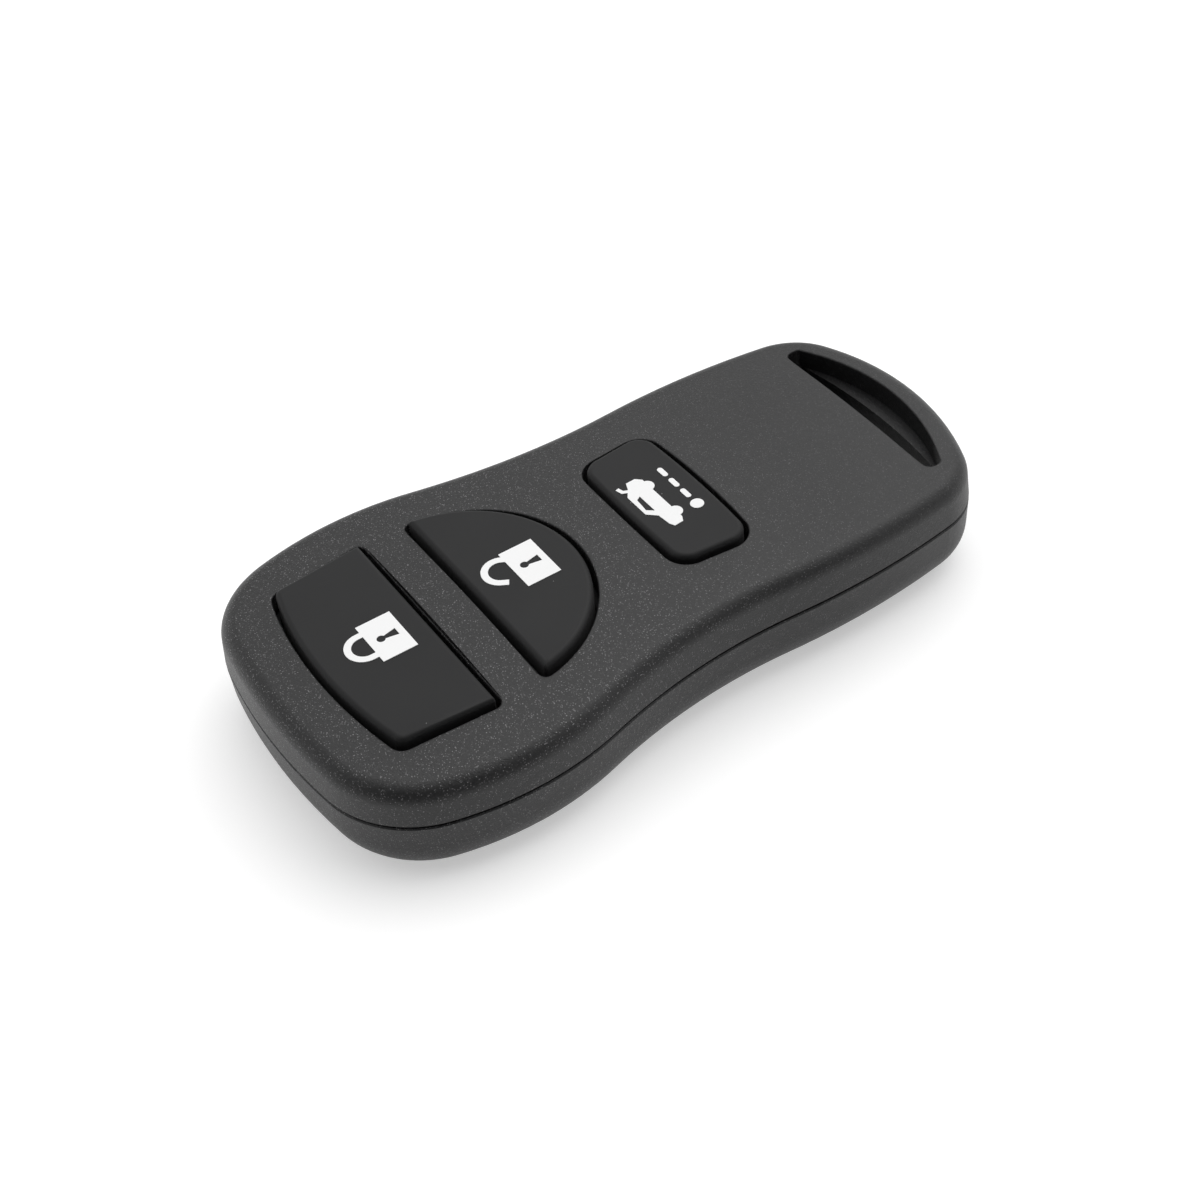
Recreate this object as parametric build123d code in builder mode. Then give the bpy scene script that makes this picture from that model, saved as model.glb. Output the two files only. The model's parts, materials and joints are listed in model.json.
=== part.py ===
"""Car key fob: two moulded shells, a rubber keypad, a circuit board with three switches and a coin cell.

The frame has X across the fob, Y along it towards the key ring end and Z up.
The origin is the middle of the fob on the face that it rests on. All lengths are in millimetres.
"""

import os
from math import atan2, degrees, hypot, radians, sqrt, tan

from build123d import *

os.makedirs("parts", exist_ok=True)

# Outline of the fob
# A place whose name ends in "at" is a distance from the lock end
# A place whose name ends in "before_end" is a distance from the ring end
fob_length = 66.0
lock_end_width = 35.2
lock_end_widest_at = 15.0
waist_width = 28.6
waist_place_share = 0.695
ring_end_width = 29.4
ring_end_widest_before_end = 18.2
lock_flank_share = 0.344
ring_flank_share = 0.579
lock_end_radius = 58.0
lock_corner_radius = 9.5
lock_shoulder_radius = 27.7
ring_end_radius = 25.4
ring_corner_radius = 6.6
ring_shoulder_radius = 72.5

# Casing
fob_height = 11.3
parting_height = 6.4
crown_along_radius = 820.0
crown_across_radius = 154.0
top_edge_radius = 1.6
bottom_edge_radius = 4.0
side_draft_angle = 3.0
wall_thickness = 1.6
floor_thickness = 1.3
parting_edge_chamfer = 0.12
cavity_end_before_end = 8.1
lip_height = 0.8
lip_thickness = 0.7
lip_clearance = 0.05
loading_clearance = 0.15
overrun = 1.0

# Key ring slot
slot_near_edge_before_end = 6.6
slot_half_chord = 12.3
slot_top_apex_before_end = 2.65
slot_tip_radius = 1.0
slot_ledge_depth = 2.1
slot_neck_half_length = 10.2
slot_neck_apex_before_end = 4.05
slot_neck_end_before_end = 5.04
slot_neck_corner_radius = 0.7

# Button openings and buttons
lock_far_edge_at = 15.5
lock_far_half_width = 11.8
lock_near_corner_at = 6.45
lock_near_half_width = 11.1
lock_near_bow = 1.5
lock_far_corner_radius = 0.6
lock_near_corner_radius = 1.2
unlock_near_edge_at = 19.5
unlock_half_width = 11.5
unlock_apex_at = 29.9
unlock_corner_radius = 0.6
trunk_near_edge_at = 35.0
trunk_near_half_width = 8.0
trunk_near_bow = 0.22
trunk_far_edge_at = 42.5
trunk_far_half_width = 8.7
trunk_far_bow = 0.38
trunk_corner_radius = 2.2
button_gap = 0.32
button_rise = 0.3
button_edge_radius = 0.5
button_travel = 0.3
nub_radius = 1.5

# Keypad
keypad_thickness = 0.8
keypad_end_before_end = 19.4
skirt_thickness = 0.9
web_width = 0.9
web_thickness = 0.3
web_clearance = 0.02

# Coin cell, a standard size of 20 mm by 2.5 mm
cell_radius = 10.0
cell_height = 2.5
cell_at = 15.6
cell_cap_radius = 8.8
cell_cap_rise = 0.25
cell_wall = 0.3
cell_gasket_width = 0.6
cell_rim_radius = 0.25
cell_well_clearance = 0.15
cell_well_wall = 0.8
cell_well_height = 1.6

# Cell contacts
contact_thickness = 0.15
contact_width = 4.0
contact_tab_length = 2.4
contact_foot_length = 7.0
contact_side_gap = 0.3
spring_width = 3.0
spring_reach = 6.0
spring_pad_length = 2.4
spring_tip_length = 1.0

# Circuit board
board_thickness = 0.8
board_gap_above_cell = 0.75
board_end_before_end = 14.8
board_hole_radius = 0.9
board_pin_clearance = 0.1
board_pin_height = 0.5
post_radius = 1.3
post_edge_margin = 0.4
lock_post_row_at = 8.6
pin_row_at = 30.4
ring_post_row_before_end = 20.4

# Switches, one under each button
switch_length = 6.0
switch_width = 3.6
switch_base_height = 1.0
switch_well_radius = 1.4
switch_well_depth = 0.75
cover_thickness = 0.15
cover_skirt_height = 0.6
plunger_radius = 1.0
plunger_clearance = 0.1
plunger_flange_radius = 1.25
plunger_flange_thickness = 0.3
plunger_rise = 1.05
dome_radius = 1.3
dome_crown_radius = 0.6
dome_height = 0.34
dome_thickness = 0.1
lock_switch_at = 10.7
unlock_switch_at = 24.2
trunk_switch_at = 38.8

# Parts soldered to the board
component_row_at = 43.0
controller_length = 5.0
controller_width = 4.4
controller_height = 1.0
controller_standoff = 0.1
controller_centre_x = -5.2
controller_pin_count = 8
controller_pin_pitch = 0.55
controller_pin_width = 0.22
controller_pin_thickness = 0.12
controller_pin_reach = 0.8
radio_side = 4.0
radio_height = 0.9
radio_edge_chamfer = 0.1
radio_centre_x = 4.6
crystal_length = 3.2
crystal_width = 2.5
crystal_height = 0.7
crystal_corner_radius = 0.3
crystal_lid_inset = 0.2
crystal_lid_height = 0.2
chip_length = 1.6
chip_width = 0.8
chip_height = 0.5
chip_end_share = 0.22
chip_pitch = 2.8
chip_first_x = 3.4
chip_side_x = 9.6
chip_side_row_spacing = 7.2
inductor_length = 2.5
inductor_width = 2.0
inductor_height = 1.4
inductor_flange_thickness = 0.3
inductor_core_radius = 0.7
antenna_track_width = 0.8
antenna_thickness = 0.07
antenna_half_width = 9.8
antenna_start_before_end = 18.6
antenna_end_before_end = 15.3
antenna_corner_radius = 1.2
antenna_feed_gap = 3.4

# Screw through the back
screw_before_end = 11.4
screw_radius = 1.0
screw_length = 6.2
screw_head_radius = 1.8
screw_head_height = 1.1
screw_head_edge_radius = 0.35
screw_recess_depth = 0.7
screw_recess_width = 0.5
screw_recess_length = 2.2
screw_clearance = 0.15
screw_thread_clearance = 0.02
screw_seat_depth = 1.5
screw_boss_radius = 2.4
screw_boss_wall = 1.0
boss_gap = 0.1

# White prints on the buttons
print_thickness = 0.04
padlock_body_width = 4.86
padlock_body_height = 3.2
padlock_shackle_radius = 1.4
padlock_shackle_stroke = 0.62
padlock_shackle_depth = 0.4
padlock_shut_leg = 0.85
padlock_open_angle = 32.0
padlock_open_held_leg = 0.62
padlock_open_free_leg = 0.7
keyhole_radius = 0.38
keyhole_rise = 0.5
keyhole_drop = 1.5
keyhole_neck_half_width = 0.12
keyhole_foot_half_width = 0.42
lock_print_at = 11.6
unlock_print_at = 25.36
trunk_print_at = 37.7
car_print_length = 7.6
car_wheel_radius = 0.66
car_lid_stroke = 0.36
hold_print_at = 40.55
hold_dot_radius = 0.6
hold_bar_length = 1.3
hold_bar_height = 0.5
hold_bar_gap = 0.45
hold_bar_count = 3

# Heights of the stack, from the floor of the lower shell upwards
half_length = fob_length / 2
cell_bottom = floor_thickness + contact_thickness
cell_top = cell_bottom + cell_height
board_bottom = cell_top + board_gap_above_cell
board_top = board_bottom + board_thickness
switch_top = board_top + switch_base_height + cover_thickness
plunger_top = switch_top + plunger_rise
keypad_bottom = plunger_top + button_travel
roof_underside = keypad_bottom + keypad_thickness
lip_inset = wall_thickness + lip_clearance
loading_inset = lip_inset + lip_thickness + loading_clearance


def along(distance):
    """Y of a place that lies a distance from the lock end."""
    return distance - half_length


def before_end(distance):
    """Y of a place that lies a distance from the ring end."""
    return half_length - distance


def crown_height(y):
    """Height of the crowned top on the centre line, at a place along Y."""
    return fob_height - crown_along_radius + sqrt(crown_along_radius**2 - y**2)


# Arcs of the outline, each tangent to the next


def corner_junctions(end_centre_y, end_radius, shoulder, shoulder_radius, corner_radius):
    """Points where a corner arc meets the arc of its end and the shoulder arc, whose centre is given."""
    reach_to_end = end_radius - corner_radius
    reach_to_shoulder = abs(shoulder_radius - corner_radius)
    step_y = shoulder[1] - end_centre_y
    gap = hypot(shoulder[0], step_y)
    share = (reach_to_end**2 - reach_to_shoulder**2 + gap**2) / (2 * gap**2)
    side_share = sqrt(reach_to_end**2 / gap**2 - share**2)
    corner_x = share * shoulder[0] + side_share * abs(step_y)
    corner_y = end_centre_y + share * step_y - side_share * shoulder[0] * step_y / abs(step_y)
    corner = Vector(corner_x, corner_y)
    from_end = (corner - Vector(0, end_centre_y)).normalized()
    from_shoulder = (corner - Vector(*shoulder)).normalized()
    if shoulder_radius < corner_radius:
        from_shoulder = -from_shoulder
    return [corner + from_end * corner_radius, corner + from_shoulder * corner_radius]


lock_half = lock_end_width / 2
waist_half = waist_width / 2
ring_half = ring_end_width / 2
lock_widest_y = along(lock_end_widest_at)
ring_widest_y = before_end(ring_end_widest_before_end)
waist_y = lock_widest_y + (ring_widest_y - lock_widest_y) * waist_place_share


def flank_junction(wide_half, wide_y, flank_share):
    """Point where the two arcs of an S-shaped flank meet, at its share of the way to the waist."""
    return (wide_half + (waist_half - wide_half) * flank_share, wide_y + (waist_y - wide_y) * flank_share)


lock_shoulder = (lock_half - lock_shoulder_radius, lock_widest_y)
ring_shoulder = (ring_half - ring_shoulder_radius, ring_widest_y)
lock_end_centre_y = lock_end_radius - half_length
ring_end_centre_y = half_length - ring_end_radius
lock_corner = corner_junctions(
    lock_end_centre_y, lock_end_radius, lock_shoulder, lock_shoulder_radius, lock_corner_radius
)
ring_corner = corner_junctions(
    ring_end_centre_y, ring_end_radius, ring_shoulder, ring_shoulder_radius, ring_corner_radius
)
junctions = [
    (0, -half_length),
    *lock_corner,
    (lock_half, lock_widest_y),
    flank_junction(lock_half, lock_widest_y, lock_flank_share),
    (waist_half, waist_y),
    flank_junction(ring_half, ring_widest_y, ring_flank_share),
    (ring_half, ring_widest_y),
    *reversed(ring_corner),
    (0, half_length),
]

with BuildSketch() as fob_outline:
    with BuildLine():
        side_arc = TangentArc(junctions[0], junctions[1], tangent=(1, 0))
        for junction in junctions[2:]:
            side_arc = TangentArc(side_arc @ 1, junction, tangent=side_arc % 1)
        mirror(about=Plane.YZ)
    make_face()


def inset_outline(inset, end_y):
    """Outline drawn in by an inset, and cut off square at a place along Y."""
    with BuildSketch() as sketch:
        add(fob_outline.sketch)
        offset(amount=-inset)
        with Locations((0, end_y - fob_length)):
            Rectangle(2 * lock_end_width, 2 * fob_length, mode=Mode.INTERSECT)
    return sketch.sketch


# Openings in the top, as sketches at height zero

with BuildSketch() as lock_opening:
    with BuildLine():
        lock_far_line = Line(
            (-lock_far_half_width, along(lock_far_edge_at)), (lock_far_half_width, along(lock_far_edge_at))
        )
        lock_near_arc = ThreePointArc(
            (-lock_near_half_width, along(lock_near_corner_at)),
            (0, along(lock_near_corner_at - lock_near_bow)),
            (lock_near_half_width, along(lock_near_corner_at)),
        )
        Line(lock_far_line @ 0, lock_near_arc @ 0)
        Line(lock_far_line @ 1, lock_near_arc @ 1)
    make_face()
    fillet(lock_opening.vertices().group_by(Axis.Y)[-1], lock_far_corner_radius)
    fillet(lock_opening.vertices().group_by(Axis.Y)[0], lock_near_corner_radius)

with BuildSketch() as unlock_opening:
    with BuildLine():
        unlock_line = Line(
            (-unlock_half_width, along(unlock_near_edge_at)), (unlock_half_width, along(unlock_near_edge_at))
        )
        ThreePointArc(unlock_line @ 0, (0, along(unlock_apex_at)), unlock_line @ 1)
    make_face()
    fillet(unlock_opening.vertices(), unlock_corner_radius)

with BuildSketch() as trunk_opening:
    with BuildLine():
        trunk_near_arc = ThreePointArc(
            (-trunk_near_half_width, along(trunk_near_edge_at)),
            (0, along(trunk_near_edge_at - trunk_near_bow)),
            (trunk_near_half_width, along(trunk_near_edge_at)),
        )
        trunk_far_arc = ThreePointArc(
            (-trunk_far_half_width, along(trunk_far_edge_at)),
            (0, along(trunk_far_edge_at + trunk_far_bow)),
            (trunk_far_half_width, along(trunk_far_edge_at)),
        )
        Line(trunk_near_arc @ 0, trunk_far_arc @ 0)
        Line(trunk_near_arc @ 1, trunk_far_arc @ 1)
    make_face()
    fillet(trunk_opening.vertices(), trunk_corner_radius)

slot_near_y = before_end(slot_near_edge_before_end)

with BuildSketch() as slot_opening:
    with BuildLine():
        slot_line = Line((-slot_half_chord, slot_near_y), (slot_half_chord, slot_near_y))
        ThreePointArc(slot_line @ 0, (0, before_end(slot_top_apex_before_end)), slot_line @ 1)
    make_face()
    fillet(slot_opening.vertices(), slot_tip_radius)

with BuildSketch() as slot_neck:
    with BuildLine():
        neck_line = Line((-slot_neck_half_length, slot_near_y), (slot_neck_half_length, slot_near_y))
        neck_arc = ThreePointArc(
            (-slot_neck_half_length, before_end(slot_neck_end_before_end)),
            (0, before_end(slot_neck_apex_before_end)),
            (slot_neck_half_length, before_end(slot_neck_end_before_end)),
        )
        Line(neck_line @ 0, neck_arc @ 0)
        Line(neck_line @ 1, neck_arc @ 1)
    make_face()
    fillet(slot_neck.vertices(), slot_neck_corner_radius)

button_openings = {"lock": lock_opening, "unlock": unlock_opening, "trunk": trunk_opening}
switch_places = {"lock": lock_switch_at, "unlock": unlock_switch_at, "trunk": trunk_switch_at}


# Top shell, with its crowned roof, its openings and the boss for the screw

cavity_end_y = before_end(cavity_end_before_end)

with BuildPart() as crown_block:
    crown_half_angle = degrees(atan2(lock_end_width, crown_across_radius))
    for end_share in (-1, 0, 1):
        section_y = end_share * (half_length + overrun)
        peak = crown_height(section_y)
        with BuildSketch(Plane.XZ.offset(-section_y)):
            with BuildLine():
                crown_arc = CenterArc(
                    (0, peak - crown_across_radius),
                    crown_across_radius,
                    90 - crown_half_angle,
                    2 * crown_half_angle,
                )
                Polyline(crown_arc @ 1, ((crown_arc @ 1).X, 0), ((crown_arc @ 0).X, 0), crown_arc @ 0)
            make_face()
    loft()

with BuildPart() as top_shell:
    with BuildSketch(Plane.XY.offset(parting_height)):
        add(fob_outline.sketch)
    extrude(amount=fob_height - parting_height + overrun, taper=side_draft_angle)
    add(crown_block.part, mode=Mode.INTERSECT)
    fillet(top_shell.faces().sort_by(Axis.Z)[-1].edges(), top_edge_radius)
    chamfer(top_shell.faces().sort_by(Axis.Z)[0].edges(), parting_edge_chamfer)
    with BuildSketch(Plane.XY.offset(parting_height)):
        add(inset_outline(wall_thickness, cavity_end_y))
    extrude(amount=roof_underside - parting_height, mode=Mode.SUBTRACT)
    for opening in button_openings.values():
        with BuildSketch(Plane.XY.offset(parting_height)):
            add(opening.sketch)
        extrude(amount=fob_height, mode=Mode.SUBTRACT)
    slot_ledge_z = crown_height(before_end(slot_top_apex_before_end)) - slot_ledge_depth
    with BuildSketch(Plane.XY.offset(slot_ledge_z)):
        add(slot_opening.sketch)
    extrude(amount=fob_height, mode=Mode.SUBTRACT)
    with BuildSketch(Plane.XY.offset(parting_height)):
        add(slot_neck.sketch)
    extrude(amount=fob_height, mode=Mode.SUBTRACT)
    top_boss_bottom = screw_seat_depth + floor_thickness + boss_gap
    with BuildSketch(Plane.XY.offset(top_boss_bottom)):
        with Locations((0, before_end(screw_before_end))):
            Circle(screw_boss_radius)
            Circle(screw_radius + screw_thread_clearance, mode=Mode.SUBTRACT)
    extrude(amount=roof_underside - top_boss_bottom)
top_shell.part.label = "top_shell"
export_step(top_shell.part, "parts/top_shell.step")


# Lower shell, with its locating lip, the well of the cell, the board posts and the screw boss

board_outline = inset_outline(loading_inset, before_end(board_end_before_end))


def post_places(row_y):
    """Places of the two board posts of a row, a margin inside the edge of the board."""
    with BuildSketch() as row_slice:
        add(board_outline)
        with Locations((0, row_y)):
            Rectangle(2 * lock_end_width, 2 * post_radius, mode=Mode.INTERSECT)
    half_width = row_slice.sketch.bounding_box().max.X - post_edge_margin - post_radius
    return [(-half_width, row_y), (half_width, row_y)]


pin_places = post_places(along(pin_row_at))
post_rows = [
    *pin_places,
    *post_places(along(lock_post_row_at)),
    *post_places(before_end(ring_post_row_before_end)),
]
cell_well_radius = cell_radius + cell_well_clearance

with BuildPart() as lower_cavity:
    with BuildSketch(Plane.XY.offset(floor_thickness)):
        add(inset_outline(wall_thickness, cavity_end_y))
    extrude(amount=parting_height)
    fillet(lower_cavity.faces().sort_by(Axis.Z)[0].edges(), bottom_edge_radius - wall_thickness)

with BuildPart() as bottom_shell:
    with BuildSketch(Plane.XY.offset(parting_height)):
        add(fob_outline.sketch)
    with BuildSketch():
        add(fob_outline.sketch)
        offset(amount=-parting_height * tan(radians(side_draft_angle)))
    loft(ruled=True)
    fillet(bottom_shell.faces().sort_by(Axis.Z)[0].edges(), bottom_edge_radius)
    chamfer(bottom_shell.faces().sort_by(Axis.Z)[-1].edges(), parting_edge_chamfer)
    add(lower_cavity.part, mode=Mode.SUBTRACT)
    lip_end_y = cavity_end_y - lip_clearance
    lip_opening = inset_outline(lip_inset + lip_thickness, lip_end_y - lip_thickness)
    with BuildSketch(Plane.XY.offset(parting_height)):
        add(inset_outline(lip_inset, lip_end_y))
        add(lip_opening, mode=Mode.SUBTRACT)
    extrude(amount=lip_height)
    with BuildSketch(Plane.XY.offset(parting_height)):
        add(inset_outline(wall_thickness, cavity_end_y))
        add(lip_opening, mode=Mode.SUBTRACT)
    extrude(amount=-lip_height)
    with BuildSketch(Plane.XY.offset(floor_thickness)):
        with Locations((0, along(cell_at))):
            Circle(cell_well_radius + cell_well_wall)
            Circle(cell_well_radius, mode=Mode.SUBTRACT)
        with Locations((0, along(cell_at) + cell_well_radius)):
            Rectangle(contact_width + 2 * cell_well_wall, 2 * cell_well_radius, mode=Mode.SUBTRACT)
    extrude(amount=cell_well_height)
    with BuildSketch(Plane.XY.offset(floor_thickness)):
        with Locations(*post_rows):
            Circle(post_radius)
    extrude(amount=board_bottom - floor_thickness)
    with BuildSketch(Plane.XY.offset(board_bottom)):
        with Locations(*pin_places):
            Circle(board_hole_radius - board_pin_clearance)
    extrude(amount=board_pin_height)
    with BuildSketch(Plane.XY.offset(floor_thickness)):
        with Locations((0, before_end(screw_before_end))):
            Circle(screw_head_radius + screw_clearance + screw_boss_wall)
    extrude(amount=screw_seat_depth)
    with Locations(Plane((0, before_end(screw_before_end), 0), z_dir=(0, 0, -1))):
        CounterBoreHole(
            radius=screw_radius + screw_clearance,
            counter_bore_radius=screw_head_radius + screw_clearance,
            counter_bore_depth=screw_seat_depth,
            depth=floor_thickness + screw_seat_depth + overrun,
        )
    with BuildSketch():
        add(slot_neck.sketch)
    extrude(amount=fob_height, mode=Mode.SUBTRACT)
bottom_shell.part.label = "bottom_shell"
export_step(bottom_shell.part, "parts/bottom_shell.step")


# Circuit board, resting on the posts of the lower shell

with BuildPart() as circuit_board:
    with BuildSketch(Plane.XY.offset(board_bottom)):
        add(board_outline)
        with Locations(*pin_places):
            Circle(board_hole_radius, mode=Mode.SUBTRACT)
    extrude(amount=board_thickness)
circuit_board.part.label = "circuit_board"
export_step(circuit_board.part, "parts/circuit_board.step")


# Coin cell: a steel can, a sealing ring and a cap that holds the electrodes

can_top = cell_top - cell_cap_rise
cell_plane = Plane((0, along(cell_at), cell_bottom))

with BuildPart() as battery_can:
    with BuildSketch(cell_plane):
        Circle(cell_radius)
    extrude(amount=cell_height - cell_cap_rise)
    fillet(battery_can.edges().group_by(Axis.Z)[0], cell_rim_radius)
    with BuildSketch(cell_plane.offset(cell_wall)):
        Circle(cell_radius - cell_wall)
    extrude(amount=cell_height, mode=Mode.SUBTRACT)
battery_can.part.label = "battery_can"
export_step(battery_can.part, "parts/battery_can.step")

with BuildPart() as battery_gasket:
    with BuildSketch(cell_plane.offset(cell_wall)):
        Circle(cell_radius - cell_wall)
        Circle(cell_radius - cell_wall - cell_gasket_width, mode=Mode.SUBTRACT)
    extrude(amount=can_top - cell_bottom - cell_wall)
battery_gasket.part.label = "battery_gasket"
export_step(battery_gasket.part, "parts/battery_gasket.step")

with BuildPart() as battery_cap:
    with BuildSketch(cell_plane.offset(cell_wall)):
        Circle(cell_radius - cell_wall - cell_gasket_width)
    extrude(amount=can_top - cell_bottom - cell_wall)
    with BuildSketch(cell_plane.offset(can_top - cell_bottom)):
        Circle(cell_cap_radius)
    extrude(amount=cell_cap_rise)
    fillet(battery_cap.edges().group_by(Axis.Z)[-1], cell_cap_rise / 2)
battery_cap.part.label = "battery_cap"
export_step(battery_cap.part, "parts/battery_cap.step")


# Contacts of the cell, bent from strip and soldered to the underside of the board


def strip(points, width):
    """Bent strip of a width across the fob, from the points of its edge in Y and Z."""
    with BuildPart() as bent_strip:
        with BuildSketch(Plane.YZ):
            with BuildLine():
                Polyline(*points, close=True)
            make_face()
        extrude(amount=width / 2, both=True)
    return bent_strip


riser_y = along(cell_at) + cell_radius + contact_side_gap
positive_contact = strip(
    [
        (riser_y - contact_foot_length, floor_thickness),
        (riser_y + contact_thickness, floor_thickness),
        (riser_y + contact_thickness, board_bottom - contact_thickness),
        (riser_y + contact_tab_length, board_bottom - contact_thickness),
        (riser_y + contact_tab_length, board_bottom),
        (riser_y, board_bottom),
        (riser_y, cell_bottom),
        (riser_y - contact_foot_length, cell_bottom),
    ],
    contact_width,
)
positive_contact.part.label = "positive_contact"
export_step(positive_contact.part, "parts/positive_contact.step")

spring_start_y = along(cell_at) + spring_reach / 2
spring_end_y = spring_start_y - spring_reach
negative_contact = strip(
    [
        (spring_start_y + spring_pad_length, board_bottom),
        (spring_start_y, board_bottom),
        (spring_end_y, cell_top + contact_thickness),
        (spring_end_y - spring_tip_length, cell_top + contact_thickness),
        (spring_end_y - spring_tip_length, cell_top),
        (spring_end_y, cell_top),
        (spring_start_y, board_bottom - contact_thickness),
        (spring_start_y + spring_pad_length, board_bottom - contact_thickness),
    ],
    spring_width,
)
negative_contact.part.label = "negative_contact"
export_step(negative_contact.part, "parts/negative_contact.step")


# Switches on the board, each with a base, a cover, a plunger and a snap dome


def switch_base(place):
    """Moulded base of a switch, with the round well of its dome."""
    with BuildPart() as base:
        with BuildSketch(Plane((0, along(place), board_top))):
            Rectangle(switch_length, switch_width - 2 * cover_thickness)
        extrude(amount=switch_base_height)
        with BuildSketch(Plane((0, along(place), board_top + switch_base_height))):
            Circle(switch_well_radius)
        extrude(amount=-switch_well_depth, mode=Mode.SUBTRACT)
    return base


def switch_cover(place):
    """Steel cover of a switch, folded down over the long sides of its base."""
    cover_bottom = switch_top - cover_thickness - cover_skirt_height
    with BuildPart() as cover:
        with BuildSketch(Plane((0, along(place), cover_bottom))):
            Rectangle(switch_length, switch_width)
        extrude(amount=cover_skirt_height + cover_thickness)
        with BuildSketch(Plane((0, along(place), cover_bottom))):
            Rectangle(switch_length, switch_width - 2 * cover_thickness)
        extrude(amount=cover_skirt_height, mode=Mode.SUBTRACT)
        with BuildSketch(Plane((0, along(place), cover_bottom))):
            Circle(plunger_radius + plunger_clearance)
        extrude(amount=cover_skirt_height + cover_thickness, mode=Mode.SUBTRACT)
    return cover


def switch_plunger(place):
    """Plunger of a switch, held under its cover by a flange."""
    base_top = board_top + switch_base_height
    with BuildPart() as plunger:
        with BuildSketch(Plane((0, along(place), base_top))):
            Circle(plunger_flange_radius)
        extrude(amount=-plunger_flange_thickness)
        with BuildSketch(Plane((0, along(place), base_top))):
            Circle(plunger_radius)
        extrude(amount=plunger_top - base_top)
    return plunger


def snap_dome(place):
    """Thin steel dome with a flat crown, which snaps through under the plunger."""
    dome_bottom = board_top + switch_base_height - switch_well_depth
    centre = (0, along(place), dome_bottom)
    with BuildPart() as dome:
        with BuildSketch(Plane(centre, x_dir=(1, 0, 0), z_dir=(0, -1, 0))):
            with BuildLine():
                Polyline(
                    (0, dome_height),
                    (dome_crown_radius, dome_height),
                    (dome_radius, 0),
                    (dome_radius - dome_thickness, 0),
                    (dome_crown_radius, dome_height - dome_thickness),
                    (0, dome_height - dome_thickness),
                    close=True,
                )
            make_face()
        revolve(axis=Axis(centre, (0, 0, 1)))
    return dome


for name, place in switch_places.items():
    switch_pieces = {
        "switch_base": switch_base(place),
        "switch_cover": switch_cover(place),
        "switch_plunger": switch_plunger(place),
        "snap_dome": snap_dome(place),
    }
    for piece_name, piece in switch_pieces.items():
        piece.part.label = name + "_" + piece_name
        export_step(piece.part, "parts/" + name + "_" + piece_name + ".step")


# Parts soldered to the top of the board

controller_y = along((unlock_switch_at + trunk_switch_at) / 2)
controller_bottom = board_top + controller_standoff

with BuildPart() as controller_body:
    with BuildSketch(Plane((controller_centre_x, controller_y, controller_bottom))):
        Rectangle(controller_length, controller_width)
    extrude(amount=controller_height)
    chamfer(controller_body.edges().group_by(Axis.Z)[-1], controller_standoff)
controller_body.part.label = "controller_body"
export_step(controller_body.part, "parts/controller_body.step")

with BuildPart() as controller_pins:
    shoulder_z = controller_bottom + controller_height / 2
    shoulder_bottom = shoulder_z - controller_pin_thickness
    knee = controller_pin_reach / 2
    first_pin_x = controller_centre_x - (controller_pin_count - 1) * controller_pin_pitch / 2
    for number in range(controller_pin_count):
        for side in (-1, 1):
            body_side_y = controller_y + side * controller_width / 2
            pin_path = [
                (body_side_y, shoulder_z),
                (body_side_y + side * knee, shoulder_z),
                (body_side_y + side * knee, board_top + controller_pin_thickness),
                (body_side_y + side * controller_pin_reach, board_top + controller_pin_thickness),
                (body_side_y + side * controller_pin_reach, board_top),
                (body_side_y + side * (knee - controller_pin_thickness), board_top),
                (body_side_y + side * (knee - controller_pin_thickness), shoulder_bottom),
                (body_side_y, shoulder_bottom),
            ]
            with BuildSketch(Plane.YZ.offset(first_pin_x + number * controller_pin_pitch)):
                with BuildLine():
                    Polyline(*pin_path, close=True)
                make_face()
            extrude(amount=controller_pin_width / 2, both=True)
controller_pins.part.label = "controller_pins"
export_step(controller_pins.part, "parts/controller_pins.step")

with BuildPart() as radio_chip:
    with BuildSketch(Plane((radio_centre_x, controller_y, board_top))):
        Rectangle(radio_side, radio_side)
    extrude(amount=radio_height)
    chamfer(radio_chip.edges().group_by(Axis.Z)[-1], radio_edge_chamfer)
radio_chip.part.label = "radio_chip"
export_step(radio_chip.part, "parts/radio_chip.step")

with BuildPart() as crystal_can:
    with BuildSketch(Plane((0, controller_y, board_top))):
        RectangleRounded(crystal_length, crystal_width, crystal_corner_radius)
    extrude(amount=crystal_height - crystal_lid_height)
    with BuildSketch(Plane((0, controller_y, board_top + crystal_height - crystal_lid_height))):
        lid_length = crystal_length - 2 * crystal_lid_inset
        lid_width = crystal_width - 2 * crystal_lid_inset
        RectangleRounded(lid_length, lid_width, crystal_corner_radius)
    extrude(amount=crystal_lid_height)
crystal_can.part.label = "crystal_can"
export_step(crystal_can.part, "parts/crystal_can.step")

row_y = along(component_row_at)


def chip_places(side):
    """Places of the chips on one side of the middle, two in the row and two beside the controller."""
    return [
        (side * chip_first_x, row_y),
        (side * (chip_first_x + chip_pitch), row_y),
        (side * chip_side_x, controller_y - chip_side_row_spacing / 2),
        (side * chip_side_x, controller_y + chip_side_row_spacing / 2),
    ]


chip_end_length = chip_length * chip_end_share

for chip_name, chip_side in {"capacitors": -1, "resistors": 1}.items():
    with BuildPart() as chips:
        with BuildSketch(Plane.XY.offset(board_top)):
            with Locations(*chip_places(chip_side)):
                Rectangle(chip_length - 2 * chip_end_length, chip_width)
        extrude(amount=chip_height)
    chips.part.label = chip_name
    export_step(chips.part, "parts/" + chip_name + ".step")

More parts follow.
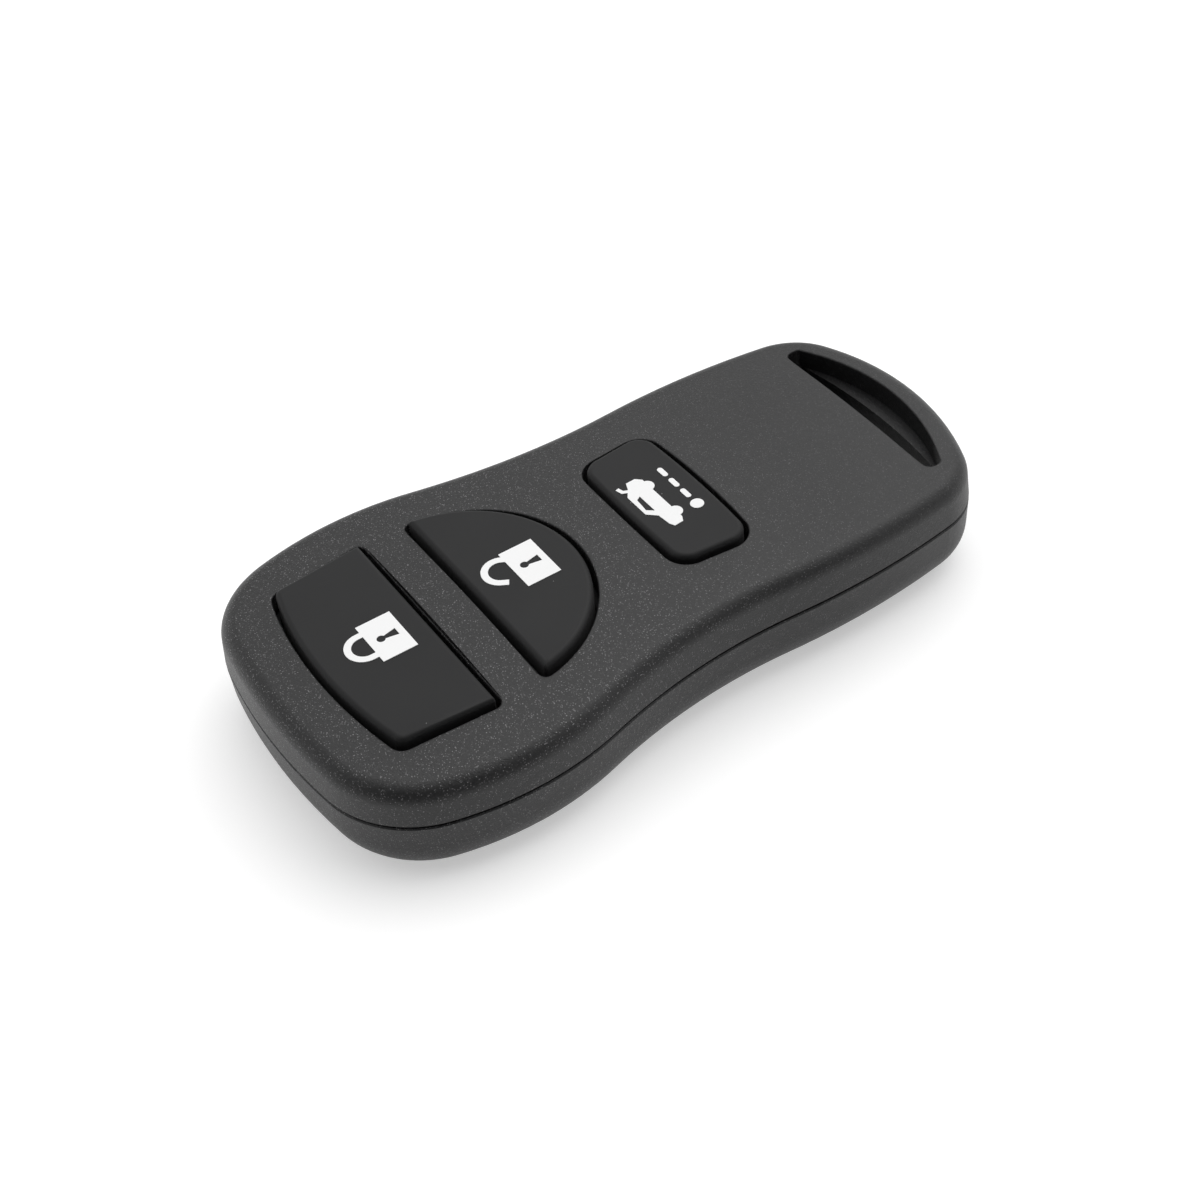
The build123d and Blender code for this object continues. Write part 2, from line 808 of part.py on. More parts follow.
with BuildPart() as chip_terminals:
    with BuildSketch(Plane.XY.offset(board_top)):
        with Locations(*chip_places(-1), *chip_places(1)):
            with GridLocations(chip_length - chip_end_length, chip_width, 2, 1):
                Rectangle(chip_end_length, chip_width)
    extrude(amount=chip_height)
chip_terminals.part.label = "chip_terminals"
export_step(chip_terminals.part, "parts/chip_terminals.step")

with BuildPart() as inductor:
    for flange_z in (board_top, board_top + inductor_height - inductor_flange_thickness):
        with BuildSketch(Plane((0, row_y, flange_z))):
            Rectangle(inductor_length, inductor_width)
        extrude(amount=inductor_flange_thickness)
    with BuildSketch(Plane((0, row_y, board_top))):
        Circle(inductor_core_radius)
    extrude(amount=inductor_height)
inductor.part.label = "inductor"
export_step(inductor.part, "parts/inductor.step")

antenna_length = antenna_start_before_end - antenna_end_before_end
with BuildPart() as antenna_loop:
    with BuildSketch(Plane((0, before_end(antenna_start_before_end) + antenna_length / 2, board_top))):
        RectangleRounded(2 * antenna_half_width, antenna_length, antenna_corner_radius)
        offset(amount=-antenna_track_width, mode=Mode.SUBTRACT)
        with Locations((0, -antenna_length / 2)):
            Rectangle(antenna_feed_gap, 2 * antenna_track_width, mode=Mode.SUBTRACT)
    extrude(amount=antenna_thickness)
antenna_loop.part.label = "antenna_loop"
export_step(antenna_loop.part, "parts/antenna_loop.step")


# Rubber keypad: a sheet with a skirt round it, three buttons and the webs that carry them


def button_outline(opening, growth):
    """Outline of a button in its opening, grown all round by a length."""
    with BuildSketch() as sketch:
        add(opening.sketch)
        offset(amount=growth - button_gap)
    return sketch.sketch


keypad_end_y = before_end(keypad_end_before_end)
keypad_outline = inset_outline(loading_inset, keypad_end_y)

with BuildPart() as keypad_sheet:
    with BuildSketch(Plane.XY.offset(keypad_bottom)):
        add(keypad_outline)
        for opening in button_openings.values():
            add(button_outline(opening, web_width), mode=Mode.SUBTRACT)
    extrude(amount=keypad_thickness)
    with BuildSketch(Plane.XY.offset(keypad_bottom)):
        add(keypad_outline)
        skirt_inside = inset_outline(loading_inset + skirt_thickness, keypad_end_y - skirt_thickness)
        add(skirt_inside, mode=Mode.SUBTRACT)
    extrude(amount=board_top - keypad_bottom)
keypad_sheet.part.label = "keypad_sheet"
export_step(keypad_sheet.part, "parts/keypad_sheet.step")

button_tops = {}
for name, opening in button_openings.items():
    button_tops[name] = crown_height(opening.sketch.bounding_box().center().Y) + button_rise
    with BuildPart() as button:
        with BuildSketch(Plane.XY.offset(keypad_bottom)):
            add(button_outline(opening, 0))
        extrude(amount=button_tops[name] - keypad_bottom)
        fillet(button.faces().sort_by(Axis.Z)[-1].edges(), button_edge_radius)
        with BuildSketch(Plane((0, along(switch_places[name]), keypad_bottom))):
            Circle(nub_radius)
        extrude(amount=plunger_top - keypad_bottom)
    button.part.label = name + "_button"
    export_step(button.part, "parts/" + name + "_button.step")
    with BuildPart() as web:
        with BuildSketch(Plane.XY.offset(keypad_bottom)):
            add(button_outline(opening, web_width))
            add(button_outline(opening, web_clearance), mode=Mode.SUBTRACT)
        extrude(amount=web_thickness)
    web.part.label = name + "_button_web"
    export_step(web.part, "parts/" + name + "_button_web.step")


# White prints, drawn as they are read with the key ring end towards the reader


def padlock(lean_angle, held_leg, free_leg):
    """Padlock with a keyhole, about the middle of its body, its bow leaning over its held leg."""
    with BuildSketch() as lock:
        with BuildLine():
            rising = Vector(0, 1).rotate(Axis.Z, -lean_angle)
            root = Vector(padlock_shackle_radius, padlock_body_height / 2 - padlock_shackle_depth)
            right_leg = Line(root, root + rising * held_leg)
            top_arc = JernArc(right_leg @ 1, rising, padlock_shackle_radius, 180)
            Line(top_arc @ 1, (top_arc @ 1) - rising * free_leg)
        trace(line_width=padlock_shackle_stroke)
        Rectangle(padlock_body_width, padlock_body_height)
        with Locations((0, keyhole_rise)):
            Circle(keyhole_radius, mode=Mode.SUBTRACT)
        with BuildLine():
            Polyline(
                (-keyhole_neck_half_width, keyhole_rise),
                (-keyhole_foot_half_width, keyhole_rise - keyhole_drop),
                (keyhole_foot_half_width, keyhole_rise - keyhole_drop),
                (keyhole_neck_half_width, keyhole_rise),
                close=True,
            )
        make_face(mode=Mode.SUBTRACT)
    return lock.sketch


def sized(shares):
    """Points of the car print, from pairs of shares of its length."""
    return [(car_print_length * across, car_print_length * up) for across, up in shares]


def car_with_open_boot():
    """Side view of a car with its boot lid up, from points that are shares of its length."""
    body_shares = [
        (0.435, -0.055),
        (0.43, 0.065),
        (0.34, 0.1),
        (0.215, 0.185),
        (-0.145, 0.185),
        (-0.25, 0.08),
        (-0.44, 0.06),
        (-0.5, 0.03),
        (-0.49, -0.085),
        (-0.42, -0.12),
        (0.37, -0.12),
    ]
    window_shares = [(0.15, 0.065), (0.115, 0.125), (-0.09, 0.14), (-0.155, 0.065)]
    wheel_shares = [(0.25, -0.1), (-0.3, -0.11)]
    lid_shares = [(0.29, 0.1), (0.33, 0.18), (0.41, 0.2)]
    with BuildSketch() as car:
        with BuildLine():
            Polyline(*sized(body_shares), close=True)
        make_face()
        with Locations(*sized(wheel_shares)):
            Circle(car_wheel_radius)
        with BuildLine():
            Polyline(*sized(window_shares), close=True)
        make_face(mode=Mode.SUBTRACT)
        with BuildLine():
            Polyline(*sized(lid_shares))
        trace(line_width=car_lid_stroke)
    return car.sketch


def hold_mark():
    """Dot followed by bars, for a long press."""
    pitch = hold_bar_length + hold_bar_gap
    row_length = 2 * hold_dot_radius + hold_bar_count * pitch
    with BuildSketch() as mark:
        with Locations((hold_dot_radius - row_length / 2, 0)):
            Circle(hold_dot_radius)
        for number in range(hold_bar_count):
            with Locations((row_length / 2 - hold_bar_length / 2 - number * pitch, 0)):
                SlotOverall(hold_bar_length, hold_bar_height)
    return mark.sketch


shut_padlock = padlock(0, padlock_shut_leg, padlock_shut_leg)
open_padlock = padlock(padlock_open_angle, padlock_open_held_leg, padlock_open_free_leg)
prints = {
    "lock_print": (shut_padlock, lock_print_at, "lock"),
    "unlock_print": (open_padlock, unlock_print_at, "unlock"),
    "trunk_print": (car_with_open_boot(), trunk_print_at, "trunk"),
    "hold_print": (hold_mark(), hold_print_at, "trunk"),
}
for name, (drawing, place, button_name) in prints.items():
    print_plane = Plane((0, along(place), button_tops[button_name]), x_dir=(-1, 0, 0), z_dir=(0, 0, 1))
    with BuildPart() as white_print:
        with BuildSketch(print_plane):
            add(drawing)
        extrude(amount=print_thickness)
    white_print.part.label = name
    export_step(white_print.part, "parts/" + name + ".step")


# Screw that holds the shells together, seen from below

with BuildPart() as back_screw:
    with BuildSketch(Plane((0, before_end(screw_before_end), screw_seat_depth))):
        Circle(screw_head_radius)
    extrude(amount=-screw_head_height)
    fillet(back_screw.edges().group_by(Axis.Z)[0], screw_head_edge_radius)
    with BuildSketch(Plane((0, before_end(screw_before_end), screw_seat_depth))):
        Circle(screw_radius)
    extrude(amount=screw_length)
    with BuildSketch(Plane((0, before_end(screw_before_end), screw_seat_depth - screw_head_height))):
        Rectangle(screw_recess_length, screw_recess_width)
        Rectangle(screw_recess_width, screw_recess_length)
    extrude(amount=screw_recess_depth, mode=Mode.SUBTRACT)
back_screw.part.label = "back_screw"
export_step(back_screw.part, "parts/back_screw.step")
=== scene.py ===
"""Looks of the car key fob: modelled meshes for its top shell and buttons, and a finish for every piece.

Pieces are modelled in millimetres and brought to metres when they are finished. X runs across the fob,
Y along it towards the key ring end, and Z up out of the buttons. The outlines come from sections through
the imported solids.
"""

from __future__ import annotations

import json
import logging
import math
from contextlib import contextmanager
from dataclasses import dataclass, field
from enum import Enum
from typing import Callable, Iterator, Optional, Sequence

import bmesh
import bpy
from mathutils import Matrix, Vector

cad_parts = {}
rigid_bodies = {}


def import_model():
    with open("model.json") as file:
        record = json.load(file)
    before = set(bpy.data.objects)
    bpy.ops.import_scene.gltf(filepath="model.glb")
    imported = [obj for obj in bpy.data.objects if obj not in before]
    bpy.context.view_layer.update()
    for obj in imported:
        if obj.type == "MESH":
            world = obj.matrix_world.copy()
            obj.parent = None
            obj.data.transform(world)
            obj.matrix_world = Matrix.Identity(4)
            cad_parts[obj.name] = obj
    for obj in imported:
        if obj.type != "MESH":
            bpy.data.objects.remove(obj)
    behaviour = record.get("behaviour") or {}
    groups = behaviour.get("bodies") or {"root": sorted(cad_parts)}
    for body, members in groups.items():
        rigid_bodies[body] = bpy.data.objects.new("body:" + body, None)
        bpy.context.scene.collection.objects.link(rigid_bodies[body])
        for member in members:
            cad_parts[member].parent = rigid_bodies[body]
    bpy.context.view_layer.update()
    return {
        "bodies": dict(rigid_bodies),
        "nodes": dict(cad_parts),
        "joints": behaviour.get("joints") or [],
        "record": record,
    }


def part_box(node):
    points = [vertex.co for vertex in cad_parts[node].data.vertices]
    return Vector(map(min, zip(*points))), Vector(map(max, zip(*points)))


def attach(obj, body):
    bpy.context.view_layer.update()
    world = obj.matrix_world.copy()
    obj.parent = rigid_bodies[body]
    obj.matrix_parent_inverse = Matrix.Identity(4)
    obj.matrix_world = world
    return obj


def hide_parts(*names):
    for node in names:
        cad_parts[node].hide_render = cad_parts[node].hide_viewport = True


MM = 0.001
LOG = logging.getLogger("key_fob")

# Millimetres within which points of a seam, points of a section, or heights count as the same
SEAM_MERGE = 0.0005
SECTION_MERGE = 0.05
LEVEL_SLACK = 0.001

# Upward share of a face's normal: less than this on a wall, more on a level face, and more on a flat one
WALL = 0.1
LEVEL = 0.9
FLAT = 0.999

Point = tuple[float, float]
Outline = list[Point]
Colour = tuple[float, float, float]

Thing = bpy.types.Object
Node = bpy.types.Node
Socket = bpy.types.NodeSocket
Tree = bpy.types.NodeTree
Edge = bmesh.types.BMEdge
Face = bmesh.types.BMFace


# Choices


class Stamp(Enum):
    """Direction in which metal was rolled or brushed, as the stretch of its lines along X, Y and Z."""

    ALONG = (1.0, 0.04, 1.0)
    ACROSS = (0.04, 1.0, 1.0)
    NONE = (1.0, 1.0, 1.0)


class Join(Enum):
    """How one solid is joined with another."""

    CUT = "DIFFERENCE"
    ADD = "UNION"


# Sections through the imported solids


def corners(points: Outline) -> Iterator[tuple[Point, Vector, Vector]]:
    """Each point of a closed outline, with the run that leads to it and the run that leaves it."""
    for number, point in enumerate(points):
        following = points[(number + 1) % len(points)]
        yield point, Vector(point) - Vector(points[number - 1]), Vector(following) - Vector(point)


def drop_straight_points(points: Outline, least_turn: float = 0.01) -> Outline:
    """Leaves out the points of a closed outline where it runs straight on.

    Args:
        points: the closed outline.
        least_turn: the smallest turn, in radians, that counts as a corner.

    Returns:
        The points at which the outline turns.
    """
    return [
        point
        for point, before, after in corners(points)
        if before.length > 0 and after.length > 0 and abs(before.angle_signed(after)) > least_turn
    ]


def rounded(points: Outline, longest_step: float, finest_turn: float = math.radians(3.0)) -> Outline:
    """Puts points between those of a closed outline, on curves that meet its runs smoothly.

    Args:
        points: the closed outline, whose round stretches are even chords.
        longest_step: the longest step, in millimetres, on a curve.
        finest_turn: the turn from one new step to the next.

    Returns:
        The finer outline.
    """
    places = [Vector(point) for point in points]
    tangents = [(before + after).normalized() for _, before, after in corners(points)]
    fine: Outline = []
    for number, start in enumerate(places):
        following = (number + 1) % len(places)
        run = places[following] - start
        end = start + run
        leave = tangents[number] * run.length
        reach = tangents[following] * run.length
        turn = abs(leave.angle_signed(reach))
        steps = 1
        if turn > finest_turn / 2:
            steps = max(1, math.ceil(turn / finest_turn), math.ceil(run.length / longest_step))
        for step in range(steps):
            share = step / steps
            from_start = 2 * share**3 - 3 * share**2 + 1
            to_leave = share**3 - 2 * share**2 + share
            to_reach = share**3 - share**2
            place = start * from_start + leave * to_leave + end * (1 - from_start) + reach * to_reach
            fine.append((place.x, place.y))
    return fine


def without_notches(points: Outline, reach: float, sharpest: float = math.radians(8.0)) -> Outline:
    """Leaves out the points near each corner at which a closed anticlockwise outline bends inwards.

    Args:
        points: the closed outline.
        reach: how near a point is to be left out, in millimetres.
        sharpest: the inward turn, in radians, that stays.

    Returns:
        The outline without its notches.
    """
    notches = [
        Vector(point)
        for point, before, after in corners(points)
        if before.cross(after) < 0 and before.angle(after) > sharpest
    ]
    return [point for point in points if all((Vector(point) - notch).length > reach for notch in notches)]


def grown(points: Outline, amount: float, least_cosine: float = 0.5) -> Outline:
    """Moves a closed anticlockwise outline outwards, or inwards where the amount is negative.

    Args:
        points: the closed outline.
        amount: how far it moves, in millimetres.
        least_cosine: the least cosine of half a corner's turn, which limits how far its point moves.

    Returns:
        The moved outline.
    """
    moved = []
    for point, before, after in corners(points):
        before = before.normalized()
        along = (before + after.normalized()).normalized()
        reach = amount / max(along.dot(before), least_cosine)
        moved.append((point[0] + along.y * reach, point[1] - along.x * reach))
    return untangled(points, moved) if amount < 0 else moved


def untangled(points: Outline, moved: Outline, passes: int = 6) -> Outline:
    """Draws the points of an inward offset that passed each other together at their corner.

    Args:
        points: the outline before it was moved.
        moved: the moved outline.
        passes: how often the corners may spread to their neighbours.

    Returns:
        The moved outline without loops at its corners.
    """
    count = len(points)
    moved = list(moved)
    caught: set[int] = set()
    for _ in range(passes):
        turned_back = set()
        for number in range(count):
            ahead = (number + 1) % count
            run = Vector(points[ahead]) - Vector(points[number])
            if number not in caught and run.dot(Vector(moved[ahead]) - Vector(moved[number])) <= 0:
                turned_back.add(number)
        if not turned_back:
            break
        caught |= turned_back
        for first in [number for number in caught if (number - 1) % count not in caught]:
            last = first
            while (last + 1) % count in caught:
                last = (last + 1) % count
            before, start = moved[first - 1], moved[first]
            end, after = moved[(last + 1) % count], moved[(last + 2) % count]
            corner = line_crossing((before, start), (end, after))
            number = first
            while number != (last + 2) % count:
                moved[number] = corner
                number = (number + 1) % count
    return moved


def line_crossing(first: tuple[Point, Point], second: tuple[Point, Point]) -> Point:
    """Where the line through two points meets the line through two others."""
    along = Vector(first[1]) - Vector(first[0])
    across = Vector(second[1]) - Vector(second[0])
    gap = Vector(second[0]) - Vector(first[0])
    share = (gap.x * across.y - gap.y * across.x) / (along.x * across.y - along.y * across.x)
    return (first[0][0] + along.x * share, first[0][1] + along.y * share)


def area_of(points: Outline) -> float:
    """Signed area inside a closed outline, positive where it runs anticlockwise."""
    befores = [points[-1], *points[:-1]]
    return sum(before[0] * y - x * before[1] for before, (x, y) in zip(befores, points)) / 2


def lowest_y(points: Outline) -> float:
    """Lowest Y of an outline."""
    return min(y for _, y in points)


def section(node: Thing, height: float) -> list[Outline]:
    """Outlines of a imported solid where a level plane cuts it.

    Args:
        node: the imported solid.
        height: the height of the plane in millimetres.

    Returns:
        Anticlockwise outlines in millimetres, the largest first.
    """
    mesh = node.data.copy()
    mesh.transform(Matrix.Scale(1 / MM, 4))
    copy = bpy.data.objects.new("section", mesh)
    bpy.context.scene.collection.objects.link(copy)
    with editing(copy):
        bpy.ops.mesh.remove_doubles(threshold=SEAM_MERGE)
        bpy.ops.mesh.select_all(action="SELECT")
        bpy.ops.mesh.bisect(plane_co=(0, 0, height), plane_no=(0, 0, 1), clear_inner=True, clear_outer=True)
        bpy.ops.mesh.select_all(action="SELECT")
        bpy.ops.mesh.remove_doubles(threshold=SECTION_MERGE)
    beside: dict[int, list[int]] = {vertex.index: [] for vertex in mesh.vertices}
    for edge in mesh.edges:
        first, second = edge.vertices
        beside[first].append(second)
        beside[second].append(first)
    outlines = []
    waiting = set(beside)
    while waiting:
        loop = [waiting.pop()]
        while following := [other for other in beside[loop[-1]] if other in waiting]:
            loop.append(following[0])
            waiting.discard(following[0])
        if len(loop) > 2:
            points = [(mesh.vertices[index].co.x, mesh.vertices[index].co.y) for index in loop]
            outlines.append(drop_straight_points(points if area_of(points) > 0 else points[::-1]))
    bpy.data.objects.remove(copy)
    bpy.data.meshes.remove(mesh)
    return sorted(outlines, key=area_of, reverse=True)


# Modelling by hand


def select_only(*objects: Thing) -> None:
    """Deselects all, then selects some objects and makes the first one active."""
    bpy.ops.object.select_all(action="DESELECT")
    for thing in objects:
        thing.select_set(True)
    if objects:
        bpy.context.view_layer.objects.active = objects[0]


@contextmanager
def editing(piece: Thing) -> Iterator[None]:
    """Opens a piece in edit mode with all of it selected, and closes it afterwards."""
    select_only(piece)
    bpy.ops.object.mode_set(mode="EDIT")
    bpy.ops.mesh.select_all(action="SELECT")
    yield
    bpy.ops.object.mode_set(mode="OBJECT")


def pick_faces(piece: Thing, wanted: Callable[[Face], bool]) -> None:
    """Selects, in edit mode, the faces that a test accepts."""
    bpy.ops.mesh.select_mode(type="FACE")
    bpy.ops.mesh.select_all(action="DESELECT")
    mesh = bmesh.from_edit_mesh(piece.data)
    for face in mesh.faces:
        if wanted(face):
            face.select_set(True)
    mesh.select_flush_mode()
    bmesh.update_edit_mesh(piece.data)


def pick_edges(piece: Thing, wanted: Callable[[Edge], bool]) -> None:
    """Selects, in edit mode, the edges that a test accepts."""
    bpy.ops.mesh.select_mode(type="EDGE")
    bpy.ops.mesh.select_all(action="DESELECT")
    mesh = bmesh.from_edit_mesh(piece.data)
    for edge in mesh.edges:
        if wanted(edge):
            edge.select_set(True)
    bmesh.update_edit_mesh(piece.data)


def lies_at(edge: Edge, height: float) -> bool:
    """Whether an edge between two faces lies at a height."""
    return edge.is_manifold and all(abs(vertex.co.z - height) < LEVEL_SLACK for vertex in edge.verts)


def is_level_rim(edge: Edge, height: float) -> bool:
    """Whether an edge lies at a height and joins a level face to an upright one."""
    slopes = sorted(abs(face.normal.z) for face in edge.link_faces)
    return lies_at(edge, height) and slopes[0] < WALL and slopes[1] > LEVEL


def stack(name: str, outline: Outline, levels: Sequence[tuple[float, float]]) -> Thing:
    """Upright block, wider or narrower from level to level, from a circle that is pulled up and fitted.

    Args:
        name: the object's name.
        outline: its closed outline in millimetres.
        levels: the height of each level, from the lowest up, and how far the outline is grown there.

    Returns:
        The block.
    """
    select_only()
    bpy.ops.mesh.primitive_circle_add(vertices=len(outline), radius=1, fill_type="NGON")
    block = bpy.context.object
    block.name = name
    vertices = block.data.vertices
    order = -1 if area_of([(vertex.co.x, vertex.co.y) for vertex in vertices]) < 0 else 1
    for vertex, (x, y) in zip(vertices, outline[::order]):
        vertex.co = (x, y, 0)
    number_at = {(vertex.co.x, vertex.co.y): vertex.index for vertex in vertices}
    with editing(block):
        for _ in levels[1:]:
            bpy.ops.mesh.extrude_region_move(TRANSFORM_OT_translate={"value": (0, 0, 1)})
        bpy.ops.mesh.select_all(action="SELECT")
        bpy.ops.mesh.normals_make_consistent(inside=False)
    rings = [grown(outline, growth)[::order] for _, growth in levels]
    for vertex in block.data.vertices:
        level = round(vertex.co.z)
        x, y = rings[level][number_at[(vertex.co.x, vertex.co.y)]]
        vertex.co = (x, y, levels[level][0])
    return block


def prism(name: str, outline: Outline, bottom: float, top: float) -> Thing:
    """Upright block of a closed outline, from one height to another."""
    return stack(name, outline, [(bottom, 0.0), (top, 0.0)])


def quarter_turns(radius: float, segments: int) -> list[tuple[float, float]]:
    """Steps along a quarter of a circle: the rise from its start, and how far it has turned away sideways."""
    turns = [math.pi / 2 * step / segments for step in range(1, segments + 1)]
    return [(radius * math.sin(turn), radius * (1 - math.cos(turn))) for turn in turns]


def rim_cutter(outline: Outline, bottom: float, surface: float, radius: float, segments: int) -> Thing:
    """Block that cuts an opening and rounds the rim of it.

    Args:
        outline: the closed outline of the opening.
        bottom: how far down it cuts.
        surface: the height of the level surface at the rim.
        radius: the radius of the rounded rim.
        segments: how many faces make the rounding.

    Returns:
        The block, wider towards the surface.
    """
    levels = [(bottom, 0.0), (surface - radius, 0.0)]
    levels += [(surface - radius + rise, aside) for rise, aside in quarter_turns(radius, segments)]
    levels.append((surface + radius, radius))
    return stack("rim_cutter", outline, levels)


def boolean(piece: Thing, tool: Thing, how: Join) -> None:
    """Cuts a tool out of a piece or adds it, and removes the tool."""
    select_only(piece)
    modifier = piece.modifiers.new("join", "BOOLEAN")
    modifier.operation = how.value
    modifier.solver = "MANIFOLD"
    modifier.object = tool
    bpy.ops.object.modifier_apply(modifier=modifier.name)
    bpy.data.objects.remove(tool)


def finish_piece(piece: Thing, sharp_degrees: float = 35.0, least_length: float = 0.00001) -> Thing:
    """Clears faces without area, brings a piece to metres and shades it by its large faces.

    Args:
        piece: the piece in millimetres.
        sharp_degrees: the angle past which an edge stays sharp.
        least_length: the length under which an edge is none.

    Returns:
        The same piece.
    """
    with editing(piece):
        bpy.ops.mesh.dissolve_degenerate(threshold=least_length)
    piece.data.transform(Matrix.Scale(MM, 4))
    bpy.ops.object.shade_smooth_by_angle(angle=math.radians(sharp_degrees))
    modifier = piece.modifiers.new("weights", "WEIGHTED_NORMAL")
    modifier.mode = "FACE_AREA"
    modifier.weight = 50
    modifier.keep_sharp = True
    bpy.ops.object.modifier_apply(modifier=modifier.name)
    return piece


# Shader node groups, each an effect that several finishes share


@dataclass(frozen=True)
class Sheet:
    """Node tree that is being drawn, of a material, a group or the world."""

    tree: Tree

    def node(self, kind: str, inputs: Optional[dict] = None, **settings: object) -> Node:
        """Adds a node, sets it, and gives or joins its inputs.

        Args:
            kind: the type of the node.
            inputs: a value, or the socket to join, for each input by name or number.
            settings: attributes of the node.

        Returns:
            The new node.
        """
        node = self.tree.nodes.new(kind)
        for name, value in settings.items():
            setattr(node, name, value)
        self.fill(node, inputs or {})
        return node

    def fill(self, node: Node, inputs: dict) -> None:
        """Gives or joins inputs of a node, by name or number."""
        for key, value in inputs.items():
            if isinstance(value, Socket):
                self.tree.links.new(value, node.inputs[key])
            else:
                node.inputs[key].default_value = value

    def noise(self, place: Socket, scale: object, detail: float, roughness: float = 0.5) -> Socket:
        """Adds noise at a place, and returns its value."""
        inputs = {"Vector": place, "Scale": scale, "Detail": detail, "Roughness": roughness}
        return self.node("ShaderNodeTexNoise", inputs).outputs["Fac"]

    def math(self, operation: str, *values: object, clamp: bool = False) -> Socket:
        """Adds a sum of numbers or sockets, and returns its result."""
        node = self.node("ShaderNodeMath", dict(enumerate(values)), operation=operation, use_clamp=clamp)
        return node.outputs[0]

    def group(self, tree: Tree, inputs: dict) -> Node:
        """Places a node group and gives or joins its inputs."""
        return self.node("ShaderNodeGroup", inputs, node_tree=tree)


def new_material(name: str) -> tuple[bpy.types.Material, Sheet, Node]:
    """Starts a material, and gives it with its sheet and its shader."""
    material = bpy.data.materials.new(name)
    material.use_nodes = True
    return material, Sheet(material.node_tree), material.node_tree.nodes["Principled BSDF"]


SOCKETS = {1: "NodeSocketFloat", 3: "NodeSocketVector", 4: "NodeSocketColor"}
PLACE = (0.0, 0.0, 0.0)


def new_group(name: str, inputs: dict, outputs: dict) -> tuple[Sheet, dict, Node]:
    """Starts a shader node group.

    Args:
        name: the group's name.
        inputs: the default of each input: a number, a place or a colour.
        outputs: the same for each output.

    Returns:
        The sheet to draw on, the input sockets by name, and the output node.
    """
    tree = bpy.data.node_groups.new(name, "ShaderNodeTree")
    for side, sockets in (("INPUT", inputs), ("OUTPUT", outputs)):
        for label, default in sockets.items():
            kind = SOCKETS[len(default) if isinstance(default, tuple) else 1]
            tree.interface.new_socket(label, in_out=side, socket_type=kind).default_value = default
    sheet = Sheet(tree)
    entry = sheet.node("NodeGroupInput")
    return sheet, {label: entry.outputs[label] for label in inputs}, sheet.node("NodeGroupOutput")


def moulded_grain_group(
    coarse_scale: float = 0.3, coarse_share: float = 0.6, falloff: float = 1.9, contrast: float = 2.5
) -> Tree:
    """Spark-eroded grain of a mould: its height, and a mask of the few grains that get painted glints.

    Args:
        coarse_scale: the scale of the coarse grain, with the fine grain's as one.
        coarse_share: how much of the coarse grain is added to the height.
        falloff: how soon a painted glint fades out from its middle.
        contrast: the power that leaves most painted glints faint.

    Returns:
        The group.
    """
    sheet, given, result = new_group(
        "moulded grain",
        {"Place": PLACE, "Grain per metre": 7000.0, "Sparkle share": 0.03},
        {"Height": 0.0, "Painted glint": 0.0},
    )
    place, scale, share = given["Place"], given["Grain per metre"], given["Sparkle share"]
    grain = sheet.noise(place, scale, 2.0, 0.6)
    coarse = sheet.noise(place, sheet.math("MULTIPLY", scale, coarse_scale), 1.0)
    height = sheet.math("MULTIPLY_ADD", coarse, coarse_share, grain)
    # A few grains are picked out for painted glints: the mask lightens their colour in place of light
    # glinting off them.
    cells = sheet.node("ShaderNodeTexVoronoi", {"Vector": place, "Scale": scale})
    chance = sheet.node("ShaderNodeSeparateColor", {"Color": cells.outputs["Color"]}).outputs["Red"]
    threshold = sheet.math("SUBTRACT", 1.0, share)
    chosen = sheet.math("GREATER_THAN", chance, threshold)
    faded = sheet.math("MULTIPLY", cells.outputs["Distance"], falloff)
    middle = sheet.math("SUBTRACT", 1.0, faded, clamp=True)
    excess = sheet.math("DIVIDE", sheet.math("SUBTRACT", chance, threshold), share)
    bright = sheet.math("POWER", sheet.math("MAXIMUM", excess, 0.0), contrast)
    glint = sheet.math("MULTIPLY", sheet.math("MULTIPLY", chosen, middle), bright)
    sheet.fill(result, {"Height": height, "Painted glint": glint})
    return sheet.tree


def uneven_tone_group() -> Tree:
    """Slow drift of a colour and of a number over a surface, as on any moulded or fired part."""
    sheet, given, result = new_group(
        "uneven tone",
        {
            "Place": PLACE,
            "Colour": (0.5, 0.5, 0.5, 1.0),
            "Patches per metre": 150.0,
            "Drift": 0.15,
            "Roughness": 0.5,
            "Roughness drift": 0.05,
        },
        {"Colour": (0.5, 0.5, 0.5, 1.0), "Roughness": 0.5},
    )
    patches = sheet.noise(given["Place"], given["Patches per metre"], 3.0)
    spread = sheet.math("MULTIPLY", sheet.math("SUBTRACT", patches, 0.5), 2.0)
    gain = sheet.math("MULTIPLY_ADD", spread, given["Drift"], 1.0)
    toned = sheet.node("ShaderNodeVectorMath", {0: given["Colour"], "Scale": gain}, operation="SCALE")
    rough = sheet.math("MULTIPLY_ADD", spread, given["Roughness drift"], given["Roughness"])
    sheet.fill(result, {"Colour": toned.outputs[0], "Roughness": rough})
    return sheet.tree


